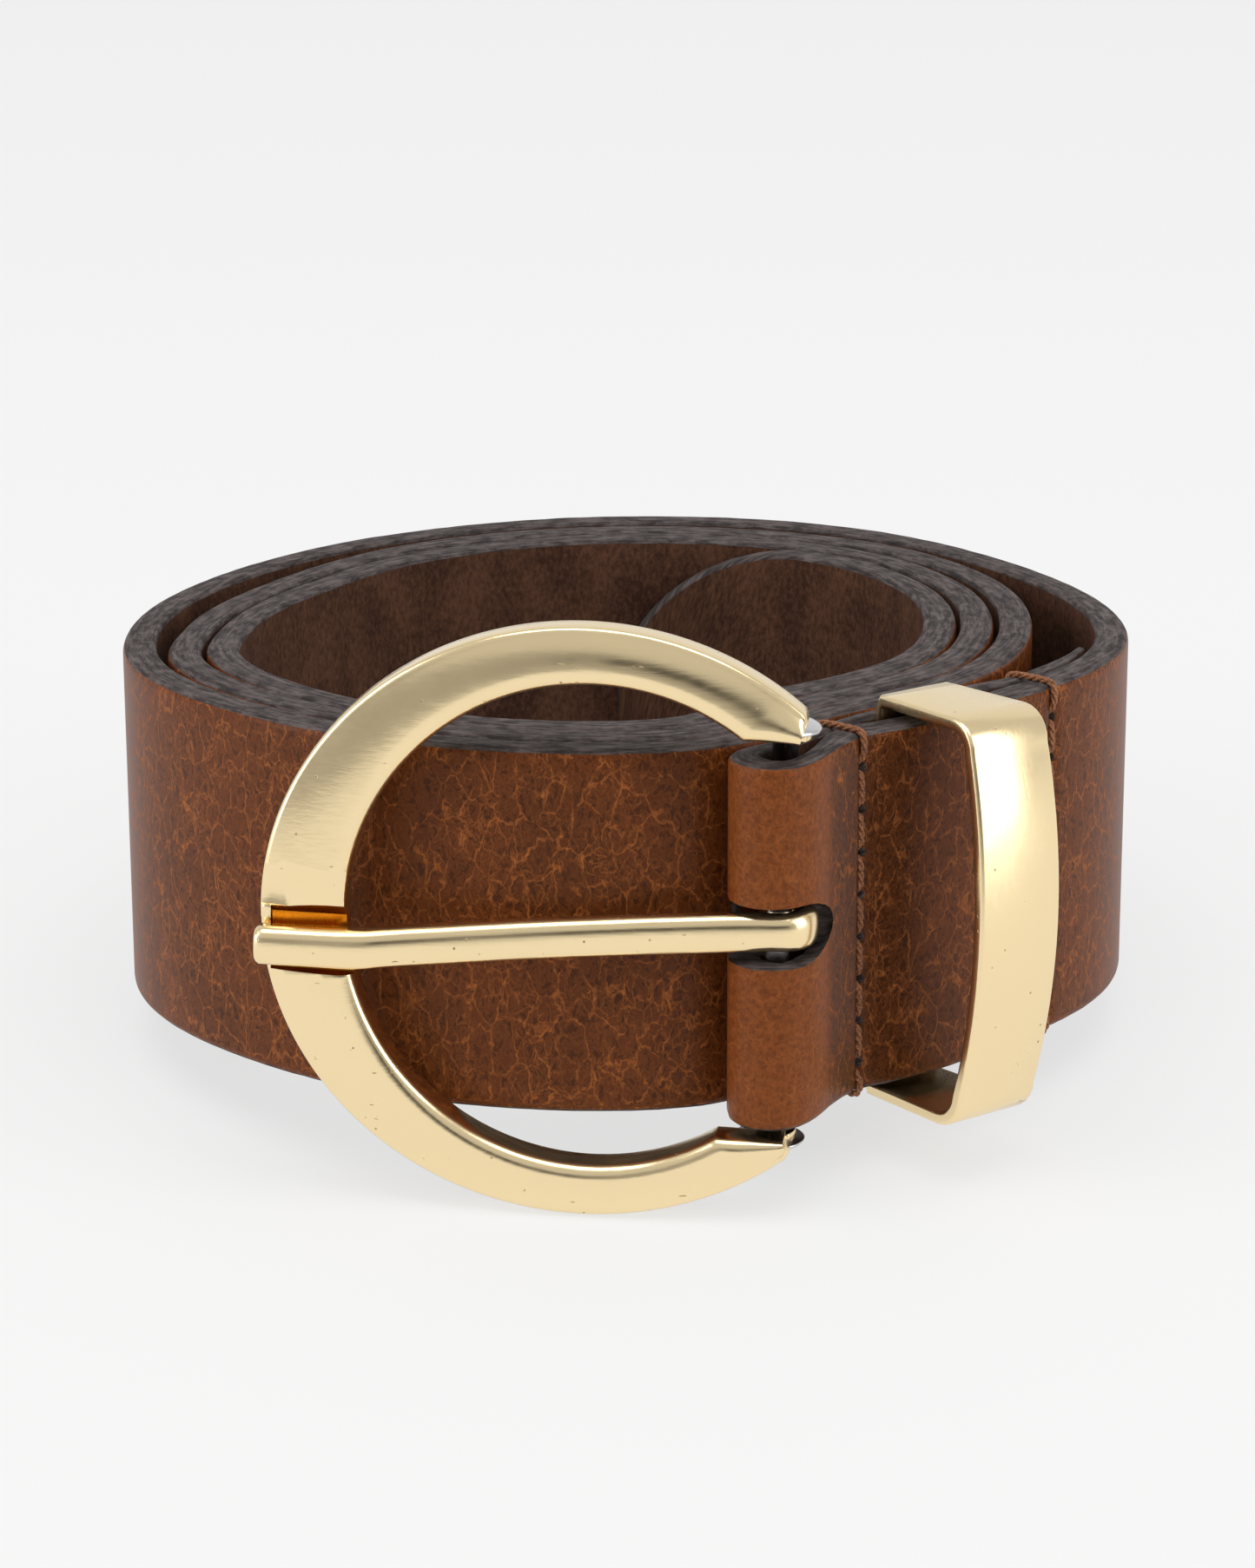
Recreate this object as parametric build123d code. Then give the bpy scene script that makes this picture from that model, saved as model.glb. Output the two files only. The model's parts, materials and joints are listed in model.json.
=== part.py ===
"""Gentleman's leather belt, coiled on its edge, with a horseshoe buckle and a metal keeper.

The coil is built round the Z axis with the strap's lower edge at z = 0. The buckle hangs below
that edge, so a coiled belt leans back: the last step tilts everything until the buckle's lower
rim and the rear of the coil stand on the same plane.
"""
from build123d import *
from math import cos, degrees, hypot, radians, sin
import os

# ---------------------------------------------------------------- driving dimensions, mm
STRAP_WIDTH = 40.0
STRAP_THICK = 3.8
FOLD_THICK = 2.4            # skived where the leather turns round the bar
FLAP_THICK = 1.9
FLAP_END_THICK = 0.9        # skived edge of the folded-back end

FLAP_END = -13.0            # angles round the coil, degrees from +X
ROW_B = -30.5               # stitches past the keeper
KEEPER_ANGLE = -51.2
ROW_A = -62.5               # stitches beside the buckle bar
COIL_START = -61.0
TIP_START = 1136.0          # unwound angle where the end begins to narrow
TIP_LENGTH = 24.5
TIP_BLUNT = 0.1
LAYER_GAP = 0.45            # between strap and flap where they are sewn
KEEPER_GAP = 1.8            # between strap and flap where the keeper's rear wall runs

# Radius of the grain face of the coil at unwound angles: a loose, slightly oval hand-wound lay.
LAY = [
    (-61, 55.0), (-52, 55.0), (-42, 55.0), (-36, 55.2), (-15, 58.6), (0, 59.1), (30, 57.4), (60, 58.1),
    (90, 56.5), (120, 54.5), (150, 54.0), (180, 55.9), (200, 56.8), (225, 55.4), (270, 54.7),
    (280, 54.0), (286, 52.2), (292, 49.6), (298, 47.3), (305, 46.3), (315, 46.4), (332, 47.3),
    (360, 48.4), (390, 51.4), (410, 52.6), (450, 50.7), (480, 48.6), (512, 46.7), (540, 49.4),
    (558, 52.2), (585, 51.1), (630, 50.4), (640, 49.6), (646, 47.5), (652, 44.8), (658, 42.9),
    (665, 42.1), (675, 42.2), (692, 43.1), (720, 43.9), (750, 46.7), (770, 48.2), (810, 46.4),
    (845, 44.0), (872, 42.4), (900, 45.2), (918, 47.8), (945, 47.0), (990, 46.2), (1000, 45.2),
    (1006, 42.8), (1012, 40.1), (1018, 38.2), (1025, 37.8), (1035, 38.0), (1052, 38.9),
    (1080, 39.6), (1110, 42.3), (1130, 44.0), (1150, 43.5), (1176, 41.9),
]

HOLE_COUNT = 5
HOLE_RADIUS = 2.1
HOLE_PITCH = 25.0
FIRST_HOLE = 84.0           # from the very end of the tip
PUNCH_OVER = 0.24

# Buckle, in its own frame: X along the belt from the tip of the prong to the bar, Y back into
# the coil, Z up the bar. Its front face is at y = 0.
BUCKLE_PLACE = (19.0, -61.5, 20.0)
BUCKLE_YAW = -6.7
BUCKLE_ROLL = 1.9
RING_OUTER = (34.0, 31.7)   # half width, half height
RING_OUTER_AT = (-22.6, 0.7)
RING_INNER = (25.8, 26.2)
RING_INNER_AT = (-21.7, 1.0)
RING_THICK = 4.2
ARM_END = 0.5               # x where each arm stops
ARM_INSIDE = (-21.1, 22.3)  # flat inner ends of the lower and the upper arm
RIM_CHAMFER = 0.42
ARM_FLAT_FROM = -6.8        # x from which the arms' inner ends run flat
WEB_FRONT = 3.0             # y from which the lugs are joined to the arms' backs
WEB_REACH = 2.2             # how far the webs reach past the bar

BAR_AT = (-2.5, 5.6)        # x, y of the bar's axis
BAR_RADIUS = 1.4
BAR_HEAD_RADIUS = 3.8
BAR_HEAD_HEIGHT = 1.9
LUG_RADIUS = 3.6
LUG_THICK = 1.5
STRAP_PLAY = 0.45           # between the strap's edges and the lugs
STRAP_RISE = 0.5            # extra play above, where the strap hangs on the bar
WEB_RISE = 0.45             # how far the upper web reaches into the arm
BAR_SET = 0.4               # how far the bar's rod reaches into its heads
PRESS_GAP = 0.02            # round the bar's heads
FAR = 60.0                  # beyond every edge of the buckle

PRONG_THICK = 3.3
PRONG_EYE_THICK = 2.8
PRONG_EYE_HEIGHT = 4.4
PRONG_BAR_HEIGHT = 3.4      # of the shank in front of the bar
PRONG_EYE_UP = 1.7          # middle of the eye above the buckle's middle
PRONG_ROUND = 0.36          # corner radius as a share of the thickness
PRONG_SHANK = [             # x, y, z, thickness, height between the eye and the kink
    (-9.5, 0.72, 1.15, 2.8, 3.7),
    (-26.0, 1.05, -0.35, 3.1, 4.0),
]
PRONG_KINK = (-2.05, 0.35, 4.4)     # z, set-back from the tip, height
PRONG_TIP_HEIGHT = 4.3
PRONG_TIP_AT = (-56.9, -2.3)
PRONG_KINK_X = -46.6
PRONG_PROUD = 1.9           # prong's front in front of the ring's face at its tip
PRONG_FIT = 0.08            # running clearance on the bar
EYE_MOUTH = (1.2, 0.9)      # corner of the eye's open side, from the bar towards the tip and the face
GROOVE_HEIGHT = 6.2
GROOVE_CLEAR = 0.35
GROOVE_END = -44.0          # x, inside the window
GROOVE_FOOT = 2.6           # how far the ramp starts below the prong's middle
RAMP_HEIGHT = 10.4
RAMP_DEPTH = 0.45

SLOT_LOW = 17.95
SLOT_HIGH = 24.6
SLOT_LEFT = 10.0
SLOT_RIGHT = 23.1           # x of the slot's right-hand end
SLOT_FRONT = -56.0          # y of the front cutter's middle
SLOT_DEPTH = 16.0
COIL_KEPT = 54.4            # radius inside which the front cutter leaves the coil whole
EYE_ROOM = 0.35             # between the prong's eye and the leather behind it

KEEPER_THICK = 1.4
KEEPER_REAR = 49.75         # radius of the inside of the rear wall
KEEPER_REAR_THICK = 1.1
KEEPER_FRONT = 64.6
KEEPER_BULGE = 2.2
KEEPER_LOW = -2.6
KEEPER_HIGH = 42.4
KEEPER_REAR_WIDTH = 9.0
KEEPER_FRONT_WIDTH = 9.8
KEEPER_CORNER = 3.6
KEEPER_WIDENS = 52.0        # radius from which the loop widens towards its front
KEEPER_LEAN = 1.6           # degrees, foot towards the buckle

THREAD_RADIUS = 0.42
THREAD_PROUD = 0.12         # of the thread's middle outside each face
THREAD_OVER = 0.3           # of the thread's middle beyond each edge
STITCH_FIRST = 3.4
STITCH_PITCH = 4.7
STITCH_COUNT = 8

REST_TILT = 5.3             # degrees that the front of the coil is lifted


buckle_frame = Pos(*BUCKLE_PLACE) * Rot(0, 0, BUCKLE_YAW) * Rot(0, BUCKLE_ROLL, 0)


# ---------------------------------------------------------------- the lay of the strap
def grain_radius(angle):
    """Grain-side radius at an unwound angle, eased smoothly between the LAY stations."""
    last = len(LAY) - 1
    i = max(k for k in range(last) if LAY[k][0] <= angle or k == 0)
    (a0, r0), (a1, r1) = LAY[i], LAY[i + 1]
    before = LAY[max(i - 1, 0)]
    after = LAY[min(i + 2, last)]
    slope0 = (r1 - before[1]) / (a1 - before[0])
    slope1 = (after[1] - r0) / (after[0] - a0)
    span = a1 - a0
    t = (angle - a0) / span
    return ((2 * t**3 - 3 * t**2 + 1) * r0 + (t**3 - 2 * t**2 + t) * span * slope0
            + (3 * t**2 - 2 * t**3) * r1 + (t**3 - t**2) * span * slope1)


def polar(radius, angle):
    """Plan point at a radius and an angle in degrees."""
    return (radius * cos(radians(angle)), radius * sin(radians(angle)))


def ease(value, low, high):
    """0 below low, 1 above high, smooth between."""
    t = min(1.0, max(0.0, (value - low) / (high - low)))
    return t * t * (3 - 2 * t)


def flap_stations():
    """Middle line of the folded-back end, from its skived edge to the bar: (x, y, thickness)."""
    stations = []
    angle = FLAP_END
    while angle > COIL_START - 1.0:
        room = ease(angle, ROW_A + 0.5, ROW_A + 4.0) * (1 - ease(angle, ROW_B - 4.5, ROW_B - 0.5))
        gap = LAYER_GAP + (KEEPER_GAP - LAYER_GAP) * room
        thick = FLAP_END_THICK + (FLAP_THICK - FLAP_END_THICK) * ease(-angle, -FLAP_END, -ROW_B - 6)
        radius = grain_radius(max(angle, LAY[0][0])) - STRAP_THICK - gap - thick / 2
        stations.append((*polar(radius, angle), thick))
        angle -= 4.0
    return stations


# Middle line of the leather round the bar, from behind it to its front: (x, y, thickness).
FOLD = [
    (20.9, -47.6, FLAP_THICK), (18.4, -50.6, FLAP_THICK), (15.6, -52.7, 2.1),
    (13.3, -54.9, FOLD_THICK), (13.5, -57.7, FOLD_THICK), (15.5, -59.5, FOLD_THICK),
    (18.3, -59.1, FOLD_THICK), (20.5, -56.4, FOLD_THICK), (22.1, -52.8, 2.6),
    (23.5, -49.6, 3.2),
]


def coil_stations(first, last, step):
    """Middle line of the wound strap between two unwound angles: (x, y, thickness)."""
    count = max(2, round((last - first) / step))
    angles = [first + (last - first) * k / count for k in range(count + 1)]
    return [(*polar(grain_radius(a) - STRAP_THICK / 2, a), STRAP_THICK) for a in angles]


def band(stations):
    """Upright solid of the strap's width along stations of (x, y, thickness)."""
    left, right = [], []
    for i, (x, y, thick) in enumerate(stations):
        x0, y0, _ = stations[max(i - 1, 0)]
        x1, y1, _ = stations[min(i + 1, len(stations) - 1)]
        run = hypot(x1 - x0, y1 - y0)
        nx, ny = -(y1 - y0) / run, (x1 - x0) / run
        left.append((x + nx * thick / 2, y + ny * thick / 2))
        right.append((x - nx * thick / 2, y - ny * thick / 2))
    sides = [Spline(*left), Spline(*right), Line(left[0], right[0]), Line(left[-1], right[-1])]
    return extrude(make_face(sides), STRAP_WIDTH, dir=(0, 0, 1))


def arc_angle(length, start):
    """Unwound angle that lies a length of strap before a start angle."""
    angle = start
    while length > 0:
        length -= radians(0.5) * (grain_radius(angle) - STRAP_THICK / 2)
        angle -= 0.5
    return angle


def slot_cutter():
    """Oblong slot through the front of the fold, and behind it the room that the prong's eye turns in."""
    middle = (SLOT_LOW + SLOT_HIGH) / 2
    radius = (SLOT_HIGH - SLOT_LOW) / 2
    end_x = SLOT_RIGHT - radius
    slot = Pos((SLOT_LEFT + end_x) / 2, SLOT_FRONT, middle) * Box(end_x - SLOT_LEFT, SLOT_DEPTH, 2 * radius)
    slot += Pos(end_x, SLOT_FRONT, middle) * Rot(90, 0, 0) * Cylinder(radius, SLOT_DEPTH)
    slot -= Pos(0, 0, middle) * Cylinder(COIL_KEPT, 4 * radius)
    room = BAR_RADIUS + PRONG_FIT + PRONG_EYE_THICK + EYE_ROOM
    return slot + buckle_frame * Pos(*BAR_AT, middle - BUCKLE_PLACE[2]) * Cylinder(room, 2 * radius)


def make_strap():
    """One piece of leather: rounded tip, five holes, coil, prong slot and folded-back end."""
    body = band(flap_stations() + FOLD + coil_stations(COIL_START, TIP_START, 6.0))
    tip_angle = TIP_START + degrees(TIP_LENGTH / (grain_radius(TIP_START) - STRAP_THICK / 2))
    tip = band(coil_stations(TIP_START, tip_angle, 5.0))
    middle = (TIP_START + tip_angle) / 2
    reach = grain_radius(middle) * sin(radians((tip_angle - TIP_START) / 2))
    outline = Ellipse(2 * reach - 2 * TIP_BLUNT, STRAP_WIDTH / 2)
    tip_plane = Plane(origin=(*polar(STRAP_WIDTH / 2, middle), STRAP_WIDTH / 2),
                      x_dir=(-sin(radians(middle)), cos(radians(middle)), 0),
                      z_dir=(cos(radians(middle)), sin(radians(middle)), 0))
    tip &= extrude(tip_plane * Pos(-reach - TIP_BLUNT, 0) * outline, STRAP_WIDTH)
    strap = body + tip
    for k in range(HOLE_COUNT):
        angle = arc_angle(FIRST_HOLE + k * HOLE_PITCH, tip_angle)
        x, y = polar(grain_radius(angle) - STRAP_THICK / 2, angle)
        punch = Cylinder(HOLE_RADIUS, STRAP_THICK + PUNCH_OVER)
        strap -= Pos(x, y, STRAP_WIDTH / 2) * Rot(0, 0, angle) * Rot(0, 90, 0) * punch
    return strap - slot_cutter()


# ---------------------------------------------------------------- the buckle, in its own frame
def ellipse_on_face(half_sizes, at):
    """Ellipse in the buckle's XZ plane."""
    return Plane.XZ * Pos(at[0], at[1]) * Ellipse(*half_sizes)


def plate(x0, x1, z0, z1, y0, y1):
    """Upright block given by its limits in the buckle's frame."""
    return Pos((x0 + x1) / 2, (y0 + y1) / 2, (z0 + z1) / 2) * Box(x1 - x0, y1 - y0, z1 - z0)


def upright(radius, z0, z1):
    """Cylinder on the bar's axis between two heights."""
    return Pos(BAR_AT[0], BAR_AT[1], (z0 + z1) / 2) * Cylinder(radius, z1 - z0)


def lug_heights():
    """z limits of the lower and the upper lug."""
    top = STRAP_WIDTH - BUCKLE_PLACE[2] + STRAP_PLAY + STRAP_RISE
    bottom = -BUCKLE_PLACE[2] - STRAP_PLAY
    return (bottom - LUG_THICK, bottom), (top, top + LUG_THICK)


def make_frame():
    """Horseshoe ring with a grooved seat for the prong and a lug behind each arm."""
    outer = extrude(ellipse_on_face(RING_OUTER, RING_OUTER_AT), RING_THICK, dir=(0, 1, 0))
    outer = chamfer(outer.edges(), RIM_CHAMFER)
    inner = extrude(ellipse_on_face(RING_INNER, RING_INNER_AT), RING_THICK, dir=(0, 1, 0))
    ring = outer - inner
    ring -= plate(ARM_FLAT_FROM, FAR, *ARM_INSIDE, -1, RING_THICK + 1)
    ring -= plate(ARM_END, FAR, -FAR, FAR, -1, RING_THICK + 1)
    groove_z = PRONG_TIP_AT[1]
    groove_depth = PRONG_THICK - PRONG_PROUD + GROOVE_CLEAR
    ring -= plate(-FAR, GROOVE_END, groove_z - GROOVE_HEIGHT / 2, groove_z + GROOVE_HEIGHT / 2,
                  -1, groove_depth)
    ramp_z = groove_z - GROOVE_FOOT
    ring -= plate(-FAR, GROOVE_END, ramp_z, ramp_z + RAMP_HEIGHT, -1, RAMP_DEPTH)
    (low0, low1), (high0, high1) = lug_heights()
    for z0, z1 in ((low0, low1), (high0, high1)):
        lug = upright(LUG_RADIUS, z0, z1)
        web = plate(BAR_AT[0] - LUG_RADIUS, BAR_AT[0] + WEB_REACH, z0, z1, WEB_FRONT, BAR_AT[1])
        ring += lug + web
    ring += plate(BAR_AT[0] - LUG_RADIUS, ARM_END, high0, high1 + WEB_RISE, WEB_FRONT, RING_THICK)
    ring -= upright(BAR_HEAD_RADIUS + PRESS_GAP, high1, FAR)
    ring -= upright(BAR_HEAD_RADIUS + PRESS_GAP, -FAR, low0)
    return ring - upright(BAR_RADIUS, -FAR, FAR)


def make_bar():
    """Steel bar with a domed head set over each lug."""
    (low0, _), (_, high1) = lug_heights()
    bar = upright(BAR_RADIUS, low0 - BAR_SET, high1 + BAR_SET)
    side = 3 * BAR_HEAD_RADIUS
    for z, up in ((high1, 1), (low0, -1)):
        dome = scale(Sphere(BAR_HEAD_RADIUS), by=(1, 1, BAR_HEAD_HEIGHT / BAR_HEAD_RADIUS))
        dome &= Pos(0, 0, up * side / 2) * Box(side, side, side)
        bar += Pos(BAR_AT[0], BAR_AT[1], z) * dome
    return bar


def prong_stations():
    """Side and height of the prong from its eye to its tip: (x, y, z, thickness, height)."""
    tip_y = PRONG_THICK / 2 - PRONG_PROUD
    eye_y = BAR_AT[1] - BAR_RADIUS - PRONG_FIT - PRONG_EYE_THICK / 2
    kink_z, kink_back, kink_height = PRONG_KINK
    return [
        (BAR_AT[0], eye_y, PRONG_EYE_UP, PRONG_EYE_THICK, PRONG_BAR_HEIGHT),
        *PRONG_SHANK,
        (PRONG_KINK_X, tip_y - kink_back, kink_z, PRONG_THICK, kink_height),
        (PRONG_TIP_AT[0], tip_y, PRONG_TIP_AT[1], PRONG_THICK, PRONG_TIP_HEIGHT),
    ]


def make_prong():
    """Prong: rounded bar with a kink before its square tip and an eye curled round the bar."""
    prong = None
    stations = prong_stations()
    for (xa, ya, za, ta, ha), (xb, yb, zb, tb, hb) in zip(stations, stations[1:]):
        near = Plane(origin=(xa, ya, za), x_dir=(0, 1, 0), z_dir=(-1, 0, 0))
        far = Plane(origin=(xb, yb, zb), x_dir=(0, 1, 0), z_dir=(-1, 0, 0))
        piece = loft([near * RectangleRounded(ta, ha, ta * PRONG_ROUND),
                      far * RectangleRounded(tb, hb, tb * PRONG_ROUND)])
        prong = piece if prong is None else prong + piece
    inside = BAR_RADIUS + PRONG_FIT
    eye = Pos(*BAR_AT, PRONG_EYE_UP) * Cylinder(inside + PRONG_EYE_THICK, PRONG_EYE_HEIGHT)
    open_x, open_y = BAR_AT[0] - EYE_MOUTH[0], BAR_AT[1] - EYE_MOUTH[1]
    prong += eye - plate(-FAR, open_x, -FAR, FAR, open_y, FAR)
    return prong - Pos(*BAR_AT, PRONG_EYE_UP) * Cylinder(inside, 2 * PRONG_EYE_HEIGHT)


# ---------------------------------------------------------------- keeper and thread
def loop_outline(inset, back):
    """Side view of the loop, inset by a wall thickness, closed at the radius back."""
    front, low, high = KEEPER_FRONT - inset, KEEPER_LOW + inset, KEEPER_HIGH - inset
    corner = KEEPER_CORNER - inset
    near = front - corner
    cut = (1 - sin(radians(45))) * corner
    bulge = (front + KEEPER_BULGE, (low + high) / 2)
    return Plane.XZ * make_face([
        Line((back, low), (near, low)),
        ThreePointArc((near, low), (front - cut, low + cut), (front, low + corner)),
        ThreePointArc((front, low + corner), bulge, (front, high - corner)),
        ThreePointArc((front, high - corner), (front - cut, high - cut), (near, high)),
        Line((near, high), (back, high)),
        Line((back, high), (back, low)),
    ])


def make_keeper():
    """Closed metal loop: curved rear wall behind the strap and a bowed front face."""
    half_rear, half_front = KEEPER_REAR_WIDTH / 2, KEEPER_FRONT_WIDTH / 2
    back, beyond = KEEPER_REAR - 2 * KEEPER_FRONT_WIDTH, KEEPER_FRONT + 2 * KEEPER_BULGE
    middle = STRAP_WIDTH / 2
    block = extrude(loop_outline(0, back), KEEPER_FRONT_WIDTH, dir=(0, 1, 0), both=True)
    hollow = extrude(loop_outline(KEEPER_THICK, back - 1), KEEPER_FRONT_WIDTH + 1, dir=(0, 1, 0), both=True)
    hollow -= Pos(0, 0, middle) * Cylinder(KEEPER_REAR + KEEPER_REAR_THICK, 2 * FAR)
    plan = Polygon((back, -half_rear), (KEEPER_WIDENS, -half_rear), (beyond, -half_front),
                   (beyond, half_front), (KEEPER_WIDENS, half_rear), (back, half_rear), align=None)
    loop = (block - hollow) & extrude(Pos(0, 0, -FAR) * plan, 3 * FAR)
    loop -= Pos(0, 0, middle) * Cylinder(KEEPER_REAR, 2 * FAR)
    lean = Pos(KEEPER_WIDENS, 0, middle) * Rot(KEEPER_LEAN, 0, 0) * Pos(-KEEPER_WIDENS, 0, -middle)
    return Rot(0, 0, KEEPER_ANGLE) * lean * loop


def stitch_row(angle):
    """One sewn row: thread on both faces, through each hole, and over both edges."""
    face_r = grain_radius(max(angle, LAY[0][0])) + THREAD_PROUD
    back_r = face_r - STRAP_THICK - LAYER_GAP - FLAP_THICK - 2 * THREAD_PROUD
    heights = [STITCH_FIRST + k * STITCH_PITCH for k in range(STITCH_COUNT)]
    low, high = -THREAD_OVER, STRAP_WIDTH + THREAD_OVER
    middle = (face_r + back_r) / 2
    row = None
    for r in (face_r, back_r):
        run = Pos(*polar(r, angle), (low + high) / 2) * Cylinder(THREAD_RADIUS, high - low)
        row = run if row is None else row + run
    for z in [low, *heights, high]:
        leg = Cylinder(THREAD_RADIUS, face_r - back_r)
        row += Pos(*polar(middle, angle), z) * Rot(0, 0, angle) * Rot(0, 90, 0) * leg
    return row


# ---------------------------------------------------------------- assembly and resting pose
parts = {
    "strap": make_strap(),
    "stitches_at_buckle": stitch_row(ROW_A),
    "stitches_past_keeper": stitch_row(ROW_B),
    "keeper_loop": make_keeper(),
    "buckle_ring": buckle_frame * make_frame(),
    "buckle_bar": buckle_frame * make_bar(),
    "prong": buckle_frame * make_prong(),
}
parts = {name: Rot(-REST_TILT, 0, 0) * shape for name, shape in parts.items()}
boxes = [shape.bounding_box() for shape in parts.values()]
middle_x = (min(b.min.X for b in boxes) + max(b.max.X for b in boxes)) / 2
middle_y = (min(b.min.Y for b in boxes) + max(b.max.Y for b in boxes)) / 2
rest = Pos(-middle_x, -middle_y, -min(b.min.Z for b in boxes))
os.makedirs("parts", exist_ok=True)
for name, shape in parts.items():
    export_step(rest * shape, "parts/" + name + ".step")
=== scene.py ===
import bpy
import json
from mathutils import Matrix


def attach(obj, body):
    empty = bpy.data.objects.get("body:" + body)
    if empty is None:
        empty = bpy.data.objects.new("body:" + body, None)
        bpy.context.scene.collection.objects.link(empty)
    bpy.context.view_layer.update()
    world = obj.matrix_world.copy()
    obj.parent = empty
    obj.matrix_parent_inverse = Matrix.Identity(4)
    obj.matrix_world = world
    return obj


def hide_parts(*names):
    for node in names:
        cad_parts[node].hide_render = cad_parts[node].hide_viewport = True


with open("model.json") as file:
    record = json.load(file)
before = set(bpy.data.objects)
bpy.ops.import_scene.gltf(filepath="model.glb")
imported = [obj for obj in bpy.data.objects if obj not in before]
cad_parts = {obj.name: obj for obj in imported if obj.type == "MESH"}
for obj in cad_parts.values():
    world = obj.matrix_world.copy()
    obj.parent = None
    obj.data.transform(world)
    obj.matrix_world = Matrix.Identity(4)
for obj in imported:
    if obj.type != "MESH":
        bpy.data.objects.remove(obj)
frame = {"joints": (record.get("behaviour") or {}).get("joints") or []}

"""Leather belt coiled on its edge: horseshoe buckle, hinged prong, steel bar, metal keeper."""
import json
import logging
import math
from dataclasses import dataclass, field
from enum import Enum
from typing import Any, Callable, Iterable, Sequence

import bmesh
import bpy
from mathutils import Matrix, Vector, noise

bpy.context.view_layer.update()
LOG = logging.getLogger("belt")
MM = 0.001

Point = tuple[float, float]
Station = tuple[float, float, float]


# ------------------------------------------------------------------ the lay, in millimetres
STRAP_WIDTH = 40.0
STRAP_THICK = 3.8
FOLD_THICK = 2.4
FLAP_THICK = 1.9
FLAP_END_THICK = 0.9
FLAP_END = -13.0
ROW_B = -30.5
ROW_A = -62.5
COIL_START = -61.0
TIP_START = 1136.0
TIP_LENGTH = 24.5
LAYER_GAP = 0.45
KEEPER_GAP = 1.8
KEEPER_ANGLE = -50.7

LAY = [
    (-61, 55.0), (-52, 55.0), (-42, 55.0), (-36, 55.2), (-15, 58.6), (0, 59.1), (30, 57.4), (60, 58.1),
    (90, 56.5), (120, 54.5), (150, 54.0), (180, 55.9), (200, 56.8), (225, 55.4), (270, 54.7),
    (280, 54.0), (286, 52.2), (292, 49.6), (298, 47.3), (305, 46.3), (315, 46.4), (332, 47.3),
    (360, 48.4), (390, 51.4), (410, 52.6), (450, 50.7), (480, 48.6), (512, 46.7), (540, 49.4),
    (558, 52.2), (585, 51.1), (630, 50.4), (640, 49.6), (646, 47.5), (652, 44.8), (658, 42.9),
    (665, 42.1), (675, 42.2), (692, 43.1), (720, 43.9), (750, 46.7), (770, 48.2), (810, 46.4),
    (845, 44.0), (872, 42.4), (900, 45.2), (918, 47.8), (945, 47.0), (990, 46.2), (1000, 45.2),
    (1006, 42.8), (1012, 40.1), (1018, 38.2), (1025, 37.8), (1035, 38.0), (1052, 38.9),
    (1080, 39.6), (1110, 42.3), (1130, 44.0), (1150, 43.5), (1176, 41.9),
]

FOLD = [
    (20.9, -47.6, FLAP_THICK), (18.4, -50.6, FLAP_THICK), (15.6, -52.7, 2.1),
    (13.3, -54.9, FOLD_THICK), (13.5, -57.7, FOLD_THICK), (15.5, -59.5, FOLD_THICK),
    (18.3, -59.1, FOLD_THICK), (20.5, -56.4, FOLD_THICK), (22.1, -52.8, 2.6),
    (23.5, -49.6, 3.2),
]


def grain_radius(angle: float) -> float:
    """Radius of the strap's grain face at an unwound angle.

    Args:
        angle: degrees round the coil from +X, growing along the strap.

    Returns:
        The radius in millimetres, eased between the stations of LAY.
    """
    last = len(LAY) - 1
    i = max(k for k in range(last) if LAY[k][0] <= angle or k == 0)
    (a0, r0), (a1, r1) = LAY[i], LAY[i + 1]
    before, after = LAY[max(i - 1, 0)], LAY[min(i + 2, last)]
    slope0 = (r1 - before[1]) / (a1 - before[0])
    slope1 = (after[1] - r0) / (after[0] - a0)
    span = a1 - a0
    t = (angle - a0) / span
    return ((2 * t**3 - 3 * t**2 + 1) * r0 + (t**3 - 2 * t**2 + t) * span * slope0
            + (3 * t**2 - 2 * t**3) * r1 + (t**3 - t**2) * span * slope1)


def polar(radius: float, angle: float) -> Point:
    """Plan point at a radius and an angle in degrees."""
    return radius * math.cos(math.radians(angle)), radius * math.sin(math.radians(angle))


def ease(value: float, low: float, high: float) -> float:
    """0 below low, 1 above high, smooth between."""
    t = min(1.0, max(0.0, (value - low) / (high - low)))
    return t * t * (3 - 2 * t)


def flap_stations() -> list[Station]:
    """Middle line of the folded-back end as (x, y, thickness), skived edge first."""
    stations = []
    angle = FLAP_END
    while angle > COIL_START - 1.0:
        room = ease(angle, ROW_A + 0.5, ROW_A + 4.0) * (1 - ease(angle, ROW_B - 4.5, ROW_B - 0.5))
        gap = LAYER_GAP + (KEEPER_GAP - LAYER_GAP) * room
        thick = FLAP_END_THICK + (FLAP_THICK - FLAP_END_THICK) * ease(-angle, -FLAP_END, -ROW_B - 6)
        radius = grain_radius(max(angle, LAY[0][0])) - STRAP_THICK - gap - thick / 2
        stations.append((*polar(radius, angle), thick))
        angle -= 4.0
    return stations


def coil_stations(first: float, last: float, step: float) -> list[Station]:
    """Middle line of the wound strap between two unwound angles as (x, y, thickness)."""
    count = max(2, round((last - first) / step))
    angles = [first + (last - first) * k / count for k in range(count + 1)]
    return [(*polar(grain_radius(a) - STRAP_THICK / 2, a), STRAP_THICK) for a in angles]


def bent_lengths() -> tuple[float, float]:
    """Lengths along the strap, in millimetres, where the buckle's fold starts and ends."""
    flap = flap_stations()
    start = sum(math.dist(a[:2], b[:2]) for a, b in zip(flap, flap[1:]))
    fold = sum(math.dist(a[:2], b[:2]) for a, b in zip(FOLD, FOLD[1:]))
    return start, start + fold


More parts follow.
